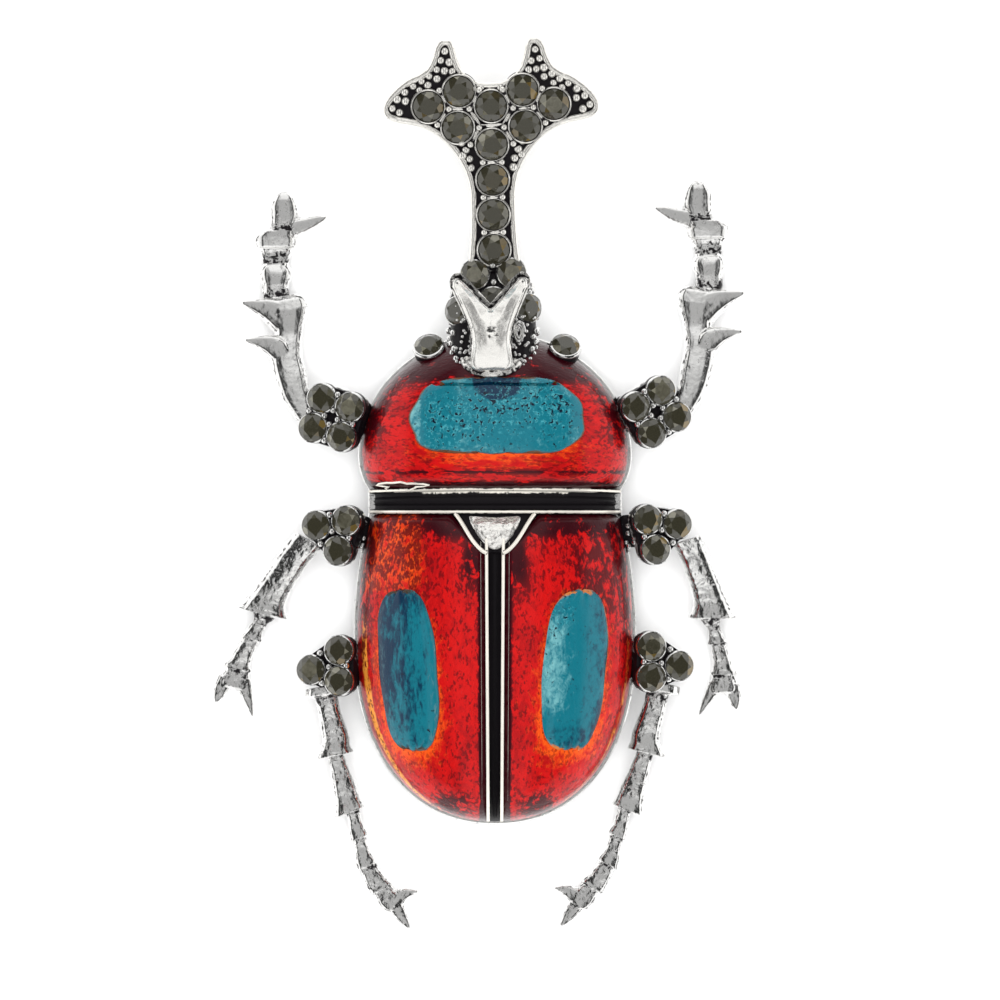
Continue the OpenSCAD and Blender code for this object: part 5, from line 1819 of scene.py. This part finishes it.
def blacken_recesses():
    """Adds antique black where a point of the metal is hemmed in by what is near it."""
    reach, clear, grazing = 1.3, 0.03, 0.2
    meshes = [o for o in bpy.data.objects if o.type == "MESH"]
    pieces = [o for o in meshes if "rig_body" in o and "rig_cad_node" not in o]
    points, faces = [], []
    for obj in pieces:
        base = len(points)
        points.extend(v.co / METRES for v in obj.data.vertices)
        faces.extend([base + k for k in p.vertices] for p in obj.data.polygons)
    tree = BVHTree.FromPolygons(points, faces)
    rays = spread_rays(settings().finish.rays)
    for obj in pieces:
        if not is_metal(obj):
            continue
        first = obj.data.attributes.get("patina")
        count = len(obj.data.vertices)
        values = [0.0] * count
        if first:
            first.data.foreach_get("value", values)
        for k, vertex in enumerate(obj.data.vertices):
            if values[k] >= 1:
                continue
            normal = vertex.normal
            start = vertex.co / METRES + normal * clear
            held = total = 0.0
            for ray in rays:
                facing = ray.dot(normal)
                if facing < grazing:
                    continue
                total += facing
                hit = tree.ray_cast(start, ray, reach)
                if hit[0] is not None:
                    held += facing * (1 - hit[3] / reach)
            values[k] = max(values[k], held / max(total, 1e-6))
        painted(obj, "patina", values)


def is_metal(obj):
    return any(m and m.name.startswith("silver") for m in obj.data.materials)


# Stage


def soft_box(name, spot, aim, width, height, power):
    data = bpy.data.lights.new(name, "AREA")
    data.shape = "RECTANGLE"
    data.size = width
    data.size_y = height
    data.energy = power
    obj = bpy.data.objects.new(name, data)
    bpy.context.scene.collection.objects.link(obj)
    obj.location = spot
    obj.rotation_euler = (Vector(aim) - Vector(spot)).to_track_quat("-Z", "Y").to_euler()
    return obj


def studio_floor():
    side = 3
    floor = laid_grid(4, 4, lambda u, v: Vector(((u - 0.5) * side, (v - 0.5) * side, 0)))
    floor.name = "studio_floor"
    floor.data.materials.append(pale_floor("pale_floor"))


def studio_light():
    """A soft room: grey overhead, darker round it and white near the floor, and hidden fill light."""
    room = Paint("soft_room", "worlds")
    way = room.put("ShaderNodeTexCoord", output="Generated")
    x, y, height = (room.put("ShaderNodeSeparateXYZ", inputs={0: way}, output=axis) for axis in "XYZ")
    across, along = x.unsigned(), y.unsigned()
    strip = (1 - across.between(0.2, 0.36)) * (0.5 + along.between(0.25, 0.85) * 0.65)
    flanks = across.between(0.66, 0.82) * 1.15
    low = (1 - height).between(0.62, 0.8) * 1.1
    light = strip.larger(flanks).larger(low) + 0.02
    shine = room.put("ShaderNodeBackground", inputs={"Color": (1, 1, 1), "Strength": light})
    end = room.tree.nodes.new("ShaderNodeOutputWorld")
    room.tree.links.new(shine.socket, end.inputs["Surface"])
    bpy.context.scene.world = room.block
    power = settings().stage.soft
    fill = soft_box("overhead_fill", (0, 0, 1.3), (0, 0, 0), 1.6, 1.6, 30 * power)
    fill.visible_glossy = False
    bpy.context.scene.view_settings.view_transform = "Standard"


SENSOR = 36


def studio_camera():
    s = settings().stage
    data = bpy.data.cameras.new("camera")
    data.sensor_width = SENSOR
    data.lens = SENSOR * s.distance / s.view_w
    data.clip_start = 0.01
    data.clip_end = 10
    camera = bpy.data.objects.new("camera", data)
    bpy.context.scene.collection.objects.link(camera)
    camera.location = (s.view_x, s.view_y, s.distance)
    bpy.context.scene.camera = camera


# Operators


class BROOCH_OT_body(bpy.types.Operator):
    """Model the body shell with its rim, waist, ridge, triangle plate and rivet posts"""

    bl_idname = "brooch.body"
    bl_label = "Body shell"

    def execute(self, context):
        parts = [
            dome_wall(wing_dome(), wings_front(), tail_y() + 0.01, 72, 60),
            dome_wall(shield_dome(), shield_y(0), shield_y(0.999), 72, 44),
        ]
        rim_ring(parts)
        rivet_posts(parts)
        cast(parts, "body_shell", silver())
        trims = []
        for model in (waist_band, ridge_strip, triangle_plate, overflow):
            model(trims)
        cast(trims, "body_trim", antique_silver("silver_trim", 0.6, 0.16, 0.1, 0.5))
        return {"FINISHED"}


class BROOCH_OT_enamel(bpy.types.Operator):
    """Lay the red enamel on the shield and the wing cases, and the teal drops on it"""

    bl_idname = "brooch.enamel"
    bl_label = "Enamel"

    def execute(self, context):
        wing_enamel(LEFT, "left_wing")
        wing_enamel(RIGHT, "right_wing")
        shield_enamel()
        teal_drop("left_wing", wing_dome())
        teal_drop("right_wing", wing_dome())
        teal_drop("neck_shield", shield_dome())
        return {"FINISHED"}


class BROOCH_OT_head(bpy.types.Operator):
    """Model the head with its granulation, cups and eyes"""

    bl_idname = "brooch.head"
    bl_label = "Head"

    def execute(self, context):
        parts = []
        head_block(parts)
        eye_bosses(parts)
        seats = [seat_of(node) for node in stone_nodes("head_stone")]
        parts.extend(prongs_for(seats, HEAD_PITCH))
        seats += [seat_of("left_eye_stone"), seat_of("right_eye_stone")]
        parts.extend(cups_for(seats))
        cast(parts, "head", silver())
        return {"FINISHED"}


class BROOCH_OT_horns(bpy.types.Operator):
    """Model the long forked horn and the crest horn"""

    bl_idname = "brooch.horns"
    bl_label = "Horns"

    def execute(self, context):
        long_horn()
        crest_horn()
        return {"FINISHED"}


class BROOCH_OT_legs(bpy.types.Operator):
    """Model the six legs and their roots"""

    bl_idname = "brooch.legs"
    bl_label = "Legs"

    def execute(self, context):
        for leg, dome, table in all_legs():
            leg_root(leg, dome)
            leg_limb(leg, table)
        return {"FINISHED"}


class BROOCH_OT_stones(bpy.types.Operator):
    """Cut the stones and lay them into their seats"""

    bl_idname = "brooch.stones"
    bl_label = "Stones"

    def execute(self, context):
        all_stones()
        return {"FINISHED"}


class BROOCH_OT_pin(bpy.types.Operator):
    """Finish the pin of the back"""

    bl_idname = "brooch.pin"
    bl_label = "Pin"

    def execute(self, context):
        for slot in frame["nodes"]["pin_back"].material_slots:
            slot.material = pin_steel("pin_nickel")
        return {"FINISHED"}


class BROOCH_OT_patina(bpy.types.Operator):
    """Blacken the recesses of the metal"""

    bl_idname = "brooch.patina"
    bl_label = "Antique black"

    def execute(self, context):
        blacken_recesses()
        return {"FINISHED"}


class BROOCH_OT_stage(bpy.types.Operator):
    """Set up the floor, the light and the camera"""

    bl_idname = "brooch.stage"
    bl_label = "Stage"

    def execute(self, context):
        studio_floor()
        studio_light()
        studio_camera()
        return {"FINISHED"}


class BROOCH_PT_sidebar(bpy.types.Panel):
    """The brooch's pieces and sizes"""

    bl_idname = "BROOCH_PT_sidebar"
    bl_label = "Beetle brooch"
    bl_space_type = "VIEW_3D"
    bl_region_type = "UI"
    bl_category = "Brooch"

    def draw(self, context):
        for operator in OPERATORS:
            self.layout.operator(operator.bl_idname)
        brooch = context.scene.brooch
        for name in ("body", "stones", "horns", "legs", "finish", "stage"):
            box = self.layout.box()
            group = getattr(brooch, name)
            for key in group.__annotations__:
                box.prop(group, key)


class BroochSettings(bpy.types.PropertyGroup):
    body: PointerProperty(type=BodySizes)
    stones: PointerProperty(type=StoneSizes)
    horns: PointerProperty(type=HornSizes)
    legs: PointerProperty(type=LegSizes)
    finish: PointerProperty(type=Finishes)
    stage: PointerProperty(type=StageSettings)


GROUPS = (BodySizes, StoneSizes, HornSizes, LegSizes, Finishes, StageSettings, BroochSettings)
OPERATORS = (
    BROOCH_OT_body,
    BROOCH_OT_enamel,
    BROOCH_OT_head,
    BROOCH_OT_horns,
    BROOCH_OT_legs,
    BROOCH_OT_stones,
    BROOCH_OT_pin,
    BROOCH_OT_patina,
    BROOCH_OT_stage,
)


def register():
    for cls in GROUPS + OPERATORS + (BROOCH_PT_sidebar,):
        bpy.utils.register_class(cls)
    bpy.types.Scene.brooch = PointerProperty(type=BroochSettings)


def unregister():
    del bpy.types.Scene.brooch
    for cls in reversed(GROUPS + OPERATORS + (BROOCH_PT_sidebar,)):
        bpy.utils.unregister_class(cls)


def main():
    register()
    bpy.ops.brooch.body()
    bpy.ops.brooch.enamel()
    bpy.ops.brooch.head()
    bpy.ops.brooch.horns()
    bpy.ops.brooch.legs()
    bpy.ops.brooch.stones()
    bpy.ops.brooch.pin()
    bpy.ops.brooch.patina()
    bpy.ops.brooch.stage()


if __name__ == "__main__":
    main()
